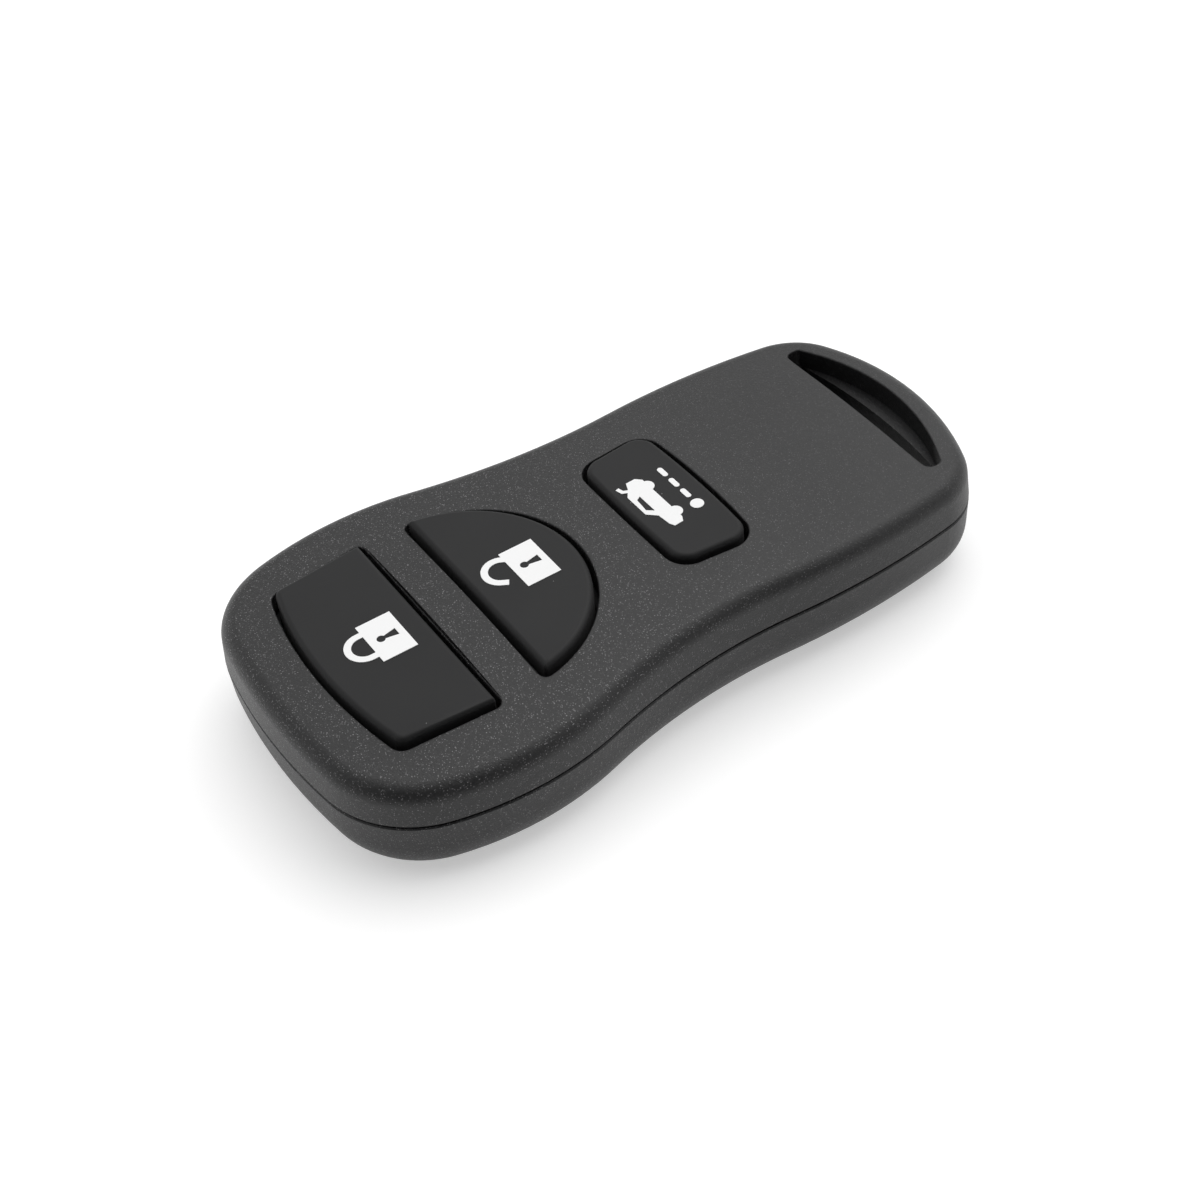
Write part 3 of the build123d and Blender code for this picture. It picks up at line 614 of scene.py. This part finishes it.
def fine_dust_group(least_reach: float = 0.06, more_reach: float = 0.14) -> Tree:
    """Loose dust: a mask of sparse, tiny specks of uneven size.

    Args:
        least_reach: the radius of the smallest speck, in cells.
        more_reach: how much larger the largest one is.

    Returns:
        The group.
    """
    sheet, given, result = new_group(
        "fine dust",
        {"Place": PLACE, "Cells per metre": 2200.0, "Share": 0.02},
        {"Mask": 0.0},
    )
    cells = sheet.node("ShaderNodeTexVoronoi", {"Vector": given["Place"], "Scale": given["Cells per metre"]})
    chance = sheet.node("ShaderNodeSeparateColor", {"Color": cells.outputs["Color"]})
    threshold = sheet.math("SUBTRACT", 1.0, given["Share"])
    chosen = sheet.math("GREATER_THAN", chance.outputs["Green"], threshold)
    reach = sheet.math("MULTIPLY_ADD", chance.outputs["Blue"], more_reach, least_reach)
    inside = sheet.math("LESS_THAN", cells.outputs["Distance"], reach)
    sheet.fill(result, {"Mask": sheet.math("MULTIPLY", chosen, inside)})
    return sheet.tree


def brushed_lines_group(unevenness: float = 0.25) -> Tree:
    """Fine lines of rolled or brushed metal: their height, and a change of roughness across them.

    Args:
        unevenness: how much the roughness changes from line to line.

    Returns:
        The group.
    """
    sheet, given, result = new_group(
        "brushed lines",
        {"Place": PLACE, "Stretch": (1.0, 0.04, 1.0), "Lines per metre": 9000.0, "Roughness": 0.3},
        {"Height": 0.0, "Roughness": 0.3},
    )
    stretched = sheet.node(
        "ShaderNodeVectorMath", {0: given["Place"], 1: given["Stretch"]}, operation="MULTIPLY"
    )
    lines = sheet.noise(stretched.outputs[0], given["Lines per metre"], 3.0, 0.7)
    spread = sheet.math("SUBTRACT", lines, 0.5)
    rough = sheet.math("MULTIPLY_ADD", spread, unevenness, given["Roughness"])
    sheet.fill(result, {"Height": lines, "Roughness": rough})
    return sheet.tree


class Groups:
    """The shared node groups, each built once."""

    def __init__(self) -> None:
        """Builds them."""
        self.grain = moulded_grain_group()
        self.tone = uneven_tone_group()
        self.dust = fine_dust_group()
        self.lines = brushed_lines_group()


# Finishes


@dataclass(frozen=True)
class Draft:
    """Material that is being drawn: its sheet, the shared groups, the place, the tone node and the shader."""

    sheet: Sheet
    groups: Groups
    place: Socket
    tone: Node
    shader: Node

    def give(self, inputs: dict) -> None:
        """Gives or joins inputs of the shader."""
        self.sheet.fill(self.shader, inputs)

    def bump(self, height: Socket, depth: float) -> None:
        """Raises the surface by a height map, to a depth in metres."""
        node = self.sheet.node("ShaderNodeBump", {"Height": height, "Distance": depth, "Strength": 1.0})
        self.give({"Normal": node.outputs["Normal"]})

    def grain(self, per_metre: float, depth: float, painted_glint_share: float = 0.0) -> Socket:
        """Raises the grain of a mould, to a depth in metres, and gives the mask of its painted glints."""
        inputs = {"Place": self.place, "Grain per metre": per_metre, "Sparkle share": painted_glint_share}
        grain = self.sheet.group(self.groups.grain, inputs)
        self.bump(grain.outputs["Height"], depth)
        return grain.outputs["Painted glint"]

    def tint(self, share: Socket, colour: Colour) -> None:
        """Mixes a second colour into the drifting one, by a share."""
        mix = self.sheet.node(
            "ShaderNodeMix", {0: share, 6: self.tone.outputs["Colour"], 7: (*colour, 1.0)}, data_type="RGBA"
        )
        self.give({"Base Color": mix.outputs[2]})

    def polish(self, share: Socket, roughness: float) -> None:
        """Mixes a second roughness into the drifting one, by a share."""
        mix = self.sheet.node(
            "ShaderNodeMix", {0: share, 2: self.tone.outputs["Roughness"], 3: roughness}, data_type="FLOAT"
        )
        self.give({"Roughness": mix.outputs[0]})


@dataclass(frozen=True)
class Finish:
    """What every finish has: a name, a colour and a gloss, both of which drift a little."""

    name: str
    colour: Colour
    roughness: float = 0.5
    drift: float = 0.12
    roughness_drift: float = 0.05
    patches_per_metre: float = 150.0

    def material(self, groups: Groups) -> bpy.types.Material:
        """Makes the material with its place, uneven tone, shader and detail.

        Args:
            groups: the shared node groups.

        Returns:
            The material.
        """
        material, sheet, shader = new_material(self.name)
        place = sheet.node("ShaderNodeTexCoord").outputs["Object"]
        tone = sheet.group(
            groups.tone,
            {
                "Place": place,
                "Colour": (*self.colour, 1.0),
                "Patches per metre": self.patches_per_metre,
                "Drift": self.drift,
                "Roughness": self.roughness,
                "Roughness drift": self.roughness_drift,
            },
        )
        draft = Draft(sheet, groups, place, tone, shader)
        draft.give({"Base Color": tone.outputs["Colour"], "Roughness": tone.outputs["Roughness"]})
        self.add_detail(draft)
        return material

    def add_detail(self, draft: Draft) -> None:
        """Adds what a kind of finish has of its own; a plain finish has nothing more."""


@dataclass(frozen=True)
class MouldedPlastic(Finish):
    """Plastic with the grain of its mould, and painted glints: a few grains lightened in colour and made
    glossier.

    The painted glints are full up to one place along Y and fade past another, both in metres, where the lit
    glints fade towards the key ring end.
    """

    grain_per_metre: float = 7000.0
    grain_depth: float = 0.00001
    painted_glint_share: float = 0.0
    painted_glint_colour: Colour = (0.3, 0.3, 0.3)
    sparkle_roughness: float = 0.2
    painted_glint_full_at: float = 1.0
    painted_glint_faded_at: float = 2.0
    faded_glint_share: float = 0.3

    def add_detail(self, draft: Draft) -> None:
        """Adds the grain, and its painted glints where it has any."""
        glint = draft.grain(self.grain_per_metre, self.grain_depth, self.painted_glint_share)
        if self.painted_glint_share > 0:
            along = draft.sheet.node("ShaderNodeSeparateXYZ", {"Vector": draft.place})
            glint_fade = draft.sheet.node(
                "ShaderNodeMapRange",
                {
                    "Value": along.outputs["Y"],
                    "From Min": self.painted_glint_full_at,
                    "From Max": self.painted_glint_faded_at,
                    "To Min": 1.0,
                    "To Max": self.faded_glint_share,
                },
            )
            # Painted glints: a pale colour mixed into the base colour on the picked grains, full at the lock
            # end and fading towards the key ring end; the same grains are also made glossier.
            painted_glint_mask = draft.sheet.math("MULTIPLY", glint, glint_fade.outputs["Result"])
            draft.tint(painted_glint_mask, self.painted_glint_colour)
            draft.polish(painted_glint_mask, self.sparkle_roughness)


@dataclass(frozen=True)
class SiliconeRubber(Finish):
    """Soft silicone rubber with a faint bloom, on which a little dust stays."""

    grain_per_metre: float = 9000.0
    grain_depth: float = 0.000004
    dust_share: float = 0.012
    dust_colour: Colour = (0.22, 0.22, 0.22)
    bloom: float = 0.04
    bloom_roughness: float = 0.5
    refraction: float = 1.41

    def add_detail(self, draft: Draft) -> None:
        """Adds the fine skin, the bloom and the dust."""
        draft.give({"Sheen Weight": self.bloom, "Sheen Roughness": self.bloom_roughness})
        draft.give({"IOR": self.refraction})
        draft.grain(self.grain_per_metre, self.grain_depth)
        dust = draft.sheet.group(draft.groups.dust, {"Place": draft.place, "Share": self.dust_share})
        draft.tint(dust.outputs["Mask"], self.dust_colour)


@dataclass(frozen=True)
class ScreenInk(Finish):
    """Screen-printed ink with the faint mesh of the screen in it."""

    grain_per_metre: float = 12000.0
    grain_depth: float = 0.000002

    def add_detail(self, draft: Draft) -> None:
        """Adds the mesh of the screen."""
        draft.grain(self.grain_per_metre, self.grain_depth)


@dataclass(frozen=True)
class Laminate(Finish):
    """Solder mask over woven glass, with a pale glint where the weave shows through."""

    weave_scale: float = 90.0
    weave_distortion: float = 0.6
    weave_depth: float = 0.000006
    weave_tint: Colour = (0.05, 0.3, 0.13)
    tint_share: float = 0.35
    coat: float = 0.6
    coat_roughness: float = 0.15

    def add_detail(self, draft: Draft) -> None:
        """Adds the weave and the coat of lacquer."""
        draft.give({"Coat Weight": self.coat, "Coat Roughness": self.coat_roughness})
        waves = []
        for direction in ("X", "Y"):
            wave = draft.sheet.node(
                "ShaderNodeTexWave",
                {"Vector": draft.place, "Scale": self.weave_scale, "Distortion": self.weave_distortion},
                bands_direction=direction,
            )
            waves.append(wave.outputs["Fac"])
        weave = draft.sheet.math("MULTIPLY", *waves)
        draft.bump(weave, self.weave_depth)
        draft.tint(draft.sheet.math("MULTIPLY", weave, self.tint_share), self.weave_tint)


@dataclass(frozen=True)
class SheetMetal(Finish):
    """Rolled, stamped or plated metal with fine lines."""

    lines_per_metre: float = 9000.0
    line_depth: float = 0.000002
    stamp: Stamp = Stamp.ALONG

    def add_detail(self, draft: Draft) -> None:
        """Adds the lines."""
        lines = draft.sheet.group(
            draft.groups.lines,
            {
                "Place": draft.place,
                "Stretch": self.stamp.value,
                "Lines per metre": self.lines_per_metre,
                "Roughness": draft.tone.outputs["Roughness"],
            },
        )
        draft.give({"Metallic": 1.0, "Roughness": lines.outputs["Roughness"]})
        draft.bump(lines.outputs["Height"], self.line_depth)


FINISHES: dict[str, Finish] = {
    "shell_plastic": MouldedPlastic(
        "shell plastic",
        (0.0095, 0.0095, 0.01),
        roughness=0.45,
        drift=0.1,
        roughness_drift=0.04,
        patches_per_metre=90.0,
        grain_per_metre=9000.0,
        grain_depth=0.00004,
        # Painted glints on the grain: a pale grey on some grains, full at the lock end and fading towards the
        # key ring end.
        painted_glint_share=0.45,
        painted_glint_colour=(0.42, 0.41, 0.42),
        painted_glint_full_at=-0.008,
        painted_glint_faded_at=0.02,
    ),
    "keypad_rubber": SiliconeRubber("keypad rubber", (0.0065, 0.0065, 0.007), roughness=0.6),
    "print_white": ScreenInk("white print", (0.9, 0.9, 0.9), roughness=0.5, drift=0.02),
    "board_laminate": Laminate("board laminate", (0.02, 0.16, 0.07), roughness=0.35),
    "cell_steel": SheetMetal("cell steel", (0.72, 0.72, 0.71), roughness=0.28, drift=0.04),
    "gasket_plastic": MouldedPlastic("gasket plastic", (0.08, 0.08, 0.08), roughness=0.55),
    "contact_metal": SheetMetal("contact strip", (0.78, 0.7, 0.5), roughness=0.3, drift=0.05),
    "chip_epoxy": MouldedPlastic("chip epoxy", (0.03, 0.03, 0.032), roughness=0.6, grain_per_metre=15000.0),
    "tinned_metal": SheetMetal("tinned ends", (0.75, 0.75, 0.74), roughness=0.35, stamp=Stamp.NONE),
    "crystal_steel": SheetMetal("crystal lid", (0.7, 0.7, 0.68), roughness=0.3, stamp=Stamp.ACROSS),
    "capacitor_ceramic": MouldedPlastic(
        "capacitor ceramic", (0.55, 0.42, 0.28), roughness=0.35, grain_per_metre=20000.0, grain_depth=0.000002
    ),
    "resistor_ceramic": MouldedPlastic(
        "resistor film", (0.05, 0.05, 0.055), roughness=0.25, grain_per_metre=20000.0, grain_depth=0.000002
    ),
    "ferrite": MouldedPlastic(
        "ferrite", (0.09, 0.09, 0.1), roughness=0.55, grain_per_metre=16000.0, grain_depth=0.000004
    ),
    "antenna_copper": SheetMetal("antenna copper", (0.72, 0.42, 0.22), roughness=0.32, drift=0.08),
    "switch_plastic": MouldedPlastic("switch base", (0.1, 0.1, 0.1), roughness=0.45, grain_per_metre=12000.0),
    "plunger_plastic": MouldedPlastic("plunger", (0.32, 0.2, 0.12), roughness=0.4, grain_per_metre=12000.0),
    "switch_steel": SheetMetal("switch cover", (0.7, 0.7, 0.7), roughness=0.27, stamp=Stamp.ACROSS),
    "screw_steel": SheetMetal("black screw", (0.18, 0.18, 0.18), roughness=0.38, stamp=Stamp.NONE),
}


@dataclass
class Wardrobe:
    """Makes each finish once and dresses pieces in them."""

    groups: Groups = field(default_factory=Groups)
    made: dict[str, bpy.types.Material] = field(default_factory=dict)

    def dress(self, piece: Thing, slot: str) -> None:
        """Gives a piece the finish of a material slot.

        Args:
            piece: the piece.
            slot: the slot's name in the record.
        """
        if slot not in self.made:
            self.made[slot] = FINISHES[slot].material(self.groups)
        piece.data.materials.clear()
        piece.data.materials.append(self.made[slot])
        for polygon in piece.data.polygons:
            polygon.material_index = 0


# Pieces that are modelled here


@dataclass
class TopShell:
    """Crowned top shell with rounded edges, soft rims at its openings and a slit at the parting line.

    Lengths are in millimetres.
    """

    nodes: dict[str, Thing]
    parting_height: float = 6.4
    top_height: float = 11.3
    draft: float = 3.0
    edge_radius: float = 1.6
    edge_segments: int = 12
    parting_chamfer: float = 0.12
    chamfer_share: float = 0.8
    slit_height: float = 0.2
    slit_depth: float = 0.6
    roof_underside: float = 8.8
    ledge_height: float = 8.64
    rim_radius: float = 0.16
    rim_segments: int = 5
    opening_growth: float = 0.05
    notch_reach: float = 0.7
    slot_margin: float = 1.0
    crown_along_radius: float = 820.0
    crown_across_radius: float = 154.0
    grid_step: float = 2.0
    outer_step: float = 1.0
    cavity_step: float = 2.0
    opening_step: float = 0.8
    boss_step: float = 0.5
    low_section: float = 7.8
    high_section: float = 9.4
    outer_section: float = 6.56
    overrun: float = 2.0
    neck_overrun: float = 0.5
    hole_overrun: float = 1.0
    boss_overlap: float = 0.3
    top_slack: float = 0.01

    def build(self) -> Thing:
        """Models the shell.

        Returns:
            The finished shell.
        """
        node = self.nodes["top_shell"]
        low = section(node, self.low_section)
        high = section(node, self.high_section)
        shell = self.outer_block(section(node, self.outer_section)[0])
        self.divide_top(shell)
        self.cut_openings(shell, low, high)
        self.add_screw_boss(shell, low)
        self.crown(shell)
        return finish_piece(shell)

    def outer_block(self, outline: Outline) -> Thing:
        """Models the outer form with a flat top, its walls leaning in and its top edge rounded.

        Args:
            outline: the outline just above the parting line.

        Returns:
            The block.
        """
        bottom = self.parting_height + self.slit_height
        foot = bottom + self.parting_chamfer
        rise = self.top_height - foot
        aside = rise * math.tan(math.radians(self.draft))
        block = prism("top_shell_body", rounded(outline, self.outer_step), bottom, foot)

        def at_foot(edge: Edge) -> bool:
            """Whether an edge is the lower edge of the outer wall."""
            walls = [face for face in edge.link_faces if abs(face.normal.z) < WALL]
            return lies_at(edge, bottom) and any(face.calc_center_median().z > bottom for face in walls)

        with editing(block):
            pick_faces(block, lambda face: face.normal.z > LEVEL)
            bpy.ops.mesh.inset(thickness=aside, depth=rise, use_even_offset=True)
            pick_faces(block, lambda face: face.normal.z < -LEVEL)
            bpy.ops.mesh.inset(thickness=self.slit_depth, use_even_offset=True)
            bpy.ops.mesh.extrude_region_move(TRANSFORM_OT_translate={"value": (0, 0, -self.slit_height)})
            pick_edges(block, at_foot)
            bpy.ops.mesh.bevel(offset=self.parting_chamfer * self.chamfer_share, segments=1)
        reach = self.edge_radius * math.tan(math.radians(90 - self.draft) / 2)
        with editing(block):
            pick_edges(block, lambda edge: is_level_rim(edge, self.top_height))
            bpy.ops.mesh.bevel(offset=reach, offset_type="OFFSET", segments=self.edge_segments, profile=0.5)
        return block

    def is_slot(self, outline: Outline, outlines: list[Outline]) -> bool:
        """Whether an outline lies as far along Y as the key ring slot, the last of some outlines."""
        return lowest_y(outline) > max(map(lowest_y, outlines)) - self.slot_margin

    def cut_openings(self, shell: Thing, low: list[Outline], high: list[Outline]) -> None:
        """Cuts the cavity, the three button openings and the key ring slot.

        Args:
            shell: the outer block.
            low: the outlines below the roof.
            high: the outlines through the roof.
        """
        low_floor = self.parting_height - self.overrun
        cavity = prism("cavity", rounded(low[1], self.cavity_step), low_floor, self.roof_underside)
        boolean(shell, cavity, Join.CUT)
        for outline in high[1:]:
            floor = self.ledge_height if self.is_slot(outline, high) else self.high_section - self.overrun
            smooth = rounded(without_notches(outline, self.notch_reach), self.opening_step)
            wide = grown(smooth, self.opening_growth)
            cutter = rim_cutter(wide, floor, self.top_height, self.rim_radius, self.rim_segments)
            boolean(shell, cutter, Join.CUT)
        neck_top = self.ledge_height + self.neck_overrun
        for outline in low:
            if self.is_slot(outline, high):
                neck = prism("neck", rounded(outline, self.opening_step), low_floor, neck_top)
                boolean(shell, neck, Join.CUT)

    def add_screw_boss(self, shell: Thing, low: list[Outline]) -> None:
        """Adds the tube under the roof that the screw bites into.

        Args:
            shell: the shell with its cavity.
            low: the outlines below the roof.
        """
        rings = [rounded(outline, self.boss_step) for outline in low[2:] if not self.is_slot(outline, low)]
        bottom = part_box("top_shell")[0].z / MM
        boolean(shell, prism("boss", rings[0], bottom, self.roof_underside + self.boss_overlap), Join.ADD)
        hole = prism("boss_hole", rings[1], bottom - self.hole_overrun, self.roof_underside)
        boolean(shell, hole, Join.CUT)

    def divide_top(self, shell: Thing) -> None:
        """Cuts the flat top into a grid."""
        low, high = (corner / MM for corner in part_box("top_shell"))

        def on_top(face: Face) -> bool:
            """Whether a face is part of the flat top."""
            middle = face.calc_center_median()
            return face.normal.z > FLAT and abs(middle.z - self.top_height) < self.top_slack

        with editing(shell):
            for axis in (0, 1):
                for number in range(1, math.ceil((high[axis] - low[axis]) / self.grid_step)):
                    pick_faces(shell, on_top)
                    place = [0.0, 0.0, 0.0]
                    normal = [0.0, 0.0, 0.0]
                    place[axis] = low[axis] + number * self.grid_step
                    normal[axis] = 1.0
                    bpy.ops.mesh.bisect(plane_co=place, plane_no=normal)

    def crown(self, shell: Thing) -> None:
        """Lowers all that is above the roof onto the crown."""
        crowned_from = (self.roof_underside + self.top_height - self.edge_radius) / 2
        for vertex in shell.data.vertices:
            if vertex.co.z > crowned_from:
                vertex.co.z -= self.drop(vertex.co.x, vertex.co.y)

    def drop(self, x: float, y: float) -> float:
        """How far the crown lies below the highest point, at a place."""
        along = self.crown_along_radius - math.sqrt(self.crown_along_radius**2 - y**2)
        across = self.crown_across_radius - math.sqrt(self.crown_across_radius**2 - x**2)
        return along + across


@dataclass
class RubberButton:
    """Button of the keypad, flat on top with a soft edge, and a nub below that presses the switch.

    Lengths are in millimetres.
    """

    nodes: dict[str, Thing]
    name: str
    edge_radius: float = 0.5
    edge_segments: int = 7
    foot_height: float = 8.0
    outline_section: float = 9.0
    nub_section: float = 7.85
    shrink: float = 0.05
    least_step: float = 0.004
    outline_step: float = 0.8
    nub_step: float = 0.4
    nub_overlap: float = 0.3

    def build(self) -> Thing:
        """Models the button.

        Returns:
            The finished button.
        """
        node_name = self.name + "_button"
        node = self.nodes[node_name]
        low, high = (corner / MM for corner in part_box(node_name))
        smooth = rounded(section(node, self.outline_section)[0], self.outline_step)
        edge_starts = high.z - self.edge_radius
        levels = [(self.foot_height, 0.0), (edge_starts, 0.0)]
        for rise, aside in quarter_turns(self.edge_radius, self.edge_segments):
            levels.append((edge_starts + rise, -aside))
        button = stack(node_name + "_body", grown(smooth, -self.shrink), levels)
        with editing(button):
            bpy.ops.mesh.remove_doubles(threshold=self.least_step)
        nub_outline = rounded(section(node, self.nub_section)[0], self.nub_step)
        nub = prism("nub", nub_outline, low.z, self.foot_height + self.nub_overlap)
        boolean(button, nub, Join.ADD)
        return finish_piece(button)


# Stage


def towards(azimuth: float, elevation: float = 0.0) -> Vector:
    """Direction out from the fob, by the degrees round from -Y and up from the floor."""
    turn = math.radians(azimuth)
    rise = math.radians(elevation)
    return Vector((math.sin(turn) * math.cos(rise), -math.cos(turn) * math.cos(rise), math.sin(rise)))


@dataclass
class Studio:
    """Pale floor, even light from all round, a soft lamp overhead and a dark card behind the camera."""

    floor_side: float = 4.0
    floor_drop: float = 0.00005
    floor_colour: Colour = (0.7, 0.7, 0.7)
    floor_roughness: float = 0.9
    floor_lift: float = 0.45
    world_strength: float = 0.88
    reflected_strength: float = 0.7
    lamp_strength: float = 1.25
    lamp_angle: float = 60.0
    lamp_azimuth: float = 200.0
    lamp_elevation: float = 62.0
    card_azimuth: float = 61.2
    card_distance: float = 0.6
    card_width: float = 2.0
    card_low: float = 0.03
    card_high: float = 1.3
    card_colour: Colour = (0.01, 0.01, 0.01)

    def build(self) -> None:
        """Makes the floor, the card, the world and the lamp."""
        self.make_floor()
        self.make_card()
        self.make_world()
        self.make_lamp()

    def make_floor(self) -> None:
        """Lays the floor, which looks white to the camera and keeps the shadow."""
        select_only()
        bpy.ops.mesh.primitive_plane_add(size=self.floor_side, location=(0, 0, -self.floor_drop))
        floor = bpy.context.object
        floor.name = "floor"
        material, sheet, shader = new_material("pale floor")
        rays = sheet.node("ShaderNodeLightPath")
        seen = sheet.math("MAXIMUM", rays.outputs["Is Camera Ray"], rays.outputs["Is Glossy Ray"])
        sheet.fill(
            shader,
            {
                "Base Color": (*self.floor_colour, 1.0),
                "Roughness": self.floor_roughness,
                "Specular IOR Level": 0.0,
                "Emission Color": (1.0, 1.0, 1.0, 1.0),
                "Emission Strength": sheet.math("MULTIPLY", seen, self.floor_lift),
            },
        )
        floor.data.materials.append(material)

    def make_card(self) -> None:
        """Stands a dark card behind the camera, which doesn't see the card itself."""
        select_only()
        bpy.ops.mesh.primitive_plane_add(size=1)
        card = bpy.context.object
        card.name = "dark_card"
        middle = Vector((0, 0, (self.card_low + self.card_high) / 2))
        card.scale = (self.card_width, self.card_high - self.card_low, 1)
        card.rotation_euler = (math.radians(90), 0, math.radians(self.card_azimuth))
        card.location = towards(self.card_azimuth) * self.card_distance + middle
        material, sheet, shader = new_material("dark card")
        sheet.fill(shader, {"Base Color": (*self.card_colour, 1.0), "Roughness": 1.0})
        card.data.materials.append(material)
        card.visible_camera = False

    def make_world(self) -> None:
        """Lights the scene evenly; the background is white to the camera and less bright as a light."""
        world = bpy.data.worlds.new("studio")
        bpy.context.scene.world = world
        world.use_nodes = True
        sheet = Sheet(world.node_tree)
        background = world.node_tree.nodes["Background"]
        background.inputs["Color"].default_value = (1.0, 1.0, 1.0, 1.0)
        rays = sheet.node("ShaderNodeLightPath")
        seen = sheet.math("MAXIMUM", rays.outputs["Is Camera Ray"], rays.outputs["Is Transmission Ray"])
        less_seen = sheet.math("MULTIPLY_ADD", seen, 1.0 - self.world_strength, self.world_strength)
        less_glossy = self.reflected_strength - self.world_strength
        strength = sheet.math("MULTIPLY_ADD", rays.outputs["Is Glossy Ray"], less_glossy, less_seen)
        sheet.tree.links.new(strength, background.inputs["Strength"])

    def make_lamp(self) -> None:
        """Hangs the broad lamp."""
        data = bpy.data.lights.new("overhead", "SUN")
        data.energy = self.lamp_strength
        data.angle = math.radians(self.lamp_angle)
        lamp = bpy.data.objects.new("overhead", data)
        bpy.context.scene.collection.objects.link(lamp)
        lamp.rotation_mode = "QUATERNION"
        lamp.rotation_quaternion = towards(self.lamp_azimuth, self.lamp_elevation).to_track_quat("Z", "Y")


@dataclass
class Viewpoint:
    """Camera of the photograph, from its place in millimetres, its direction and its focal length."""

    place: tuple[float, float, float] = (122.285, -68.601, 135.317)
    azimuth: float = 61.2075
    elevation: float = 43.36
    roll: float = 6.4473
    focal_pixels: float = 2215.46
    picture_pixels: float = 1200.0
    sensor_width: float = 36.0
    nearest: float = 0.001

    def build(self) -> None:
        """Makes the camera."""
        data = bpy.data.cameras.new("viewpoint")
        data.sensor_width = self.sensor_width
        data.lens = self.sensor_width * self.focal_pixels / self.picture_pixels
        data.clip_start = self.nearest
        camera = bpy.data.objects.new("viewpoint", data)
        bpy.context.scene.collection.objects.link(camera)
        tilt = Matrix.Rotation(math.radians(90 - self.elevation), 4, "X")
        turn = Matrix.Rotation(math.radians(self.azimuth), 4, "Z")
        lean = Matrix.Rotation(-math.radians(self.roll), 4, "Z")
        camera.matrix_world = Matrix.Translation(Vector(self.place) * MM) @ turn @ tilt @ lean
        bpy.context.scene.camera = camera


# The whole fob


@dataclass
class KeyFob:
    """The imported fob, dressed: modelled pieces in place of some nodes, and a finish on every node."""

    frame: dict
    wardrobe: Wardrobe = field(default_factory=Wardrobe)

    def build(self) -> None:
        """Builds the modelled pieces and dresses everything."""
        nodes = self.frame["nodes"]
        slots = {part["node"]: part["material_slot"] for part in self.frame["record"]["subparts"]}
        shell = TopShell(nodes).build()
        self.place(shell, "casing", "top_shell", slots)
        for name in ("lock", "unlock", "trunk"):
            button = RubberButton(nodes, name).build()
            self.place(button, name + "_key", name + "_button", slots)
        for name, node in nodes.items():
            self.wardrobe.dress(node, slots[name])
            LOG.info("dressed %s in %s", name, slots[name])

    def place(self, piece: Thing, body: str, node: str, slots: dict[str, str]) -> None:
        """Lets a modelled piece ride on its body in place of a node.

        Args:
            piece: the modelled piece.
            body: the body that it moves with.
            node: the node that it stands for.
            slots: the material slot of each node.
        """
        self.wardrobe.dress(piece, slots[node])
        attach(piece, body)
        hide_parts(node)
        LOG.info("modelled %s with %d faces", piece.name, len(piece.data.polygons))


def main() -> None:
    """Loads the frame, dresses the fob and sets the stage."""
    logging.basicConfig(level=logging.INFO, format="%(message)s")
    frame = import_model()
    KeyFob(frame).build()
    Studio().build()
    Viewpoint().build()
    bpy.context.scene.view_settings.view_transform = "Standard"
    bpy.context.view_layer.update()


if __name__ == "__main__":
    main()
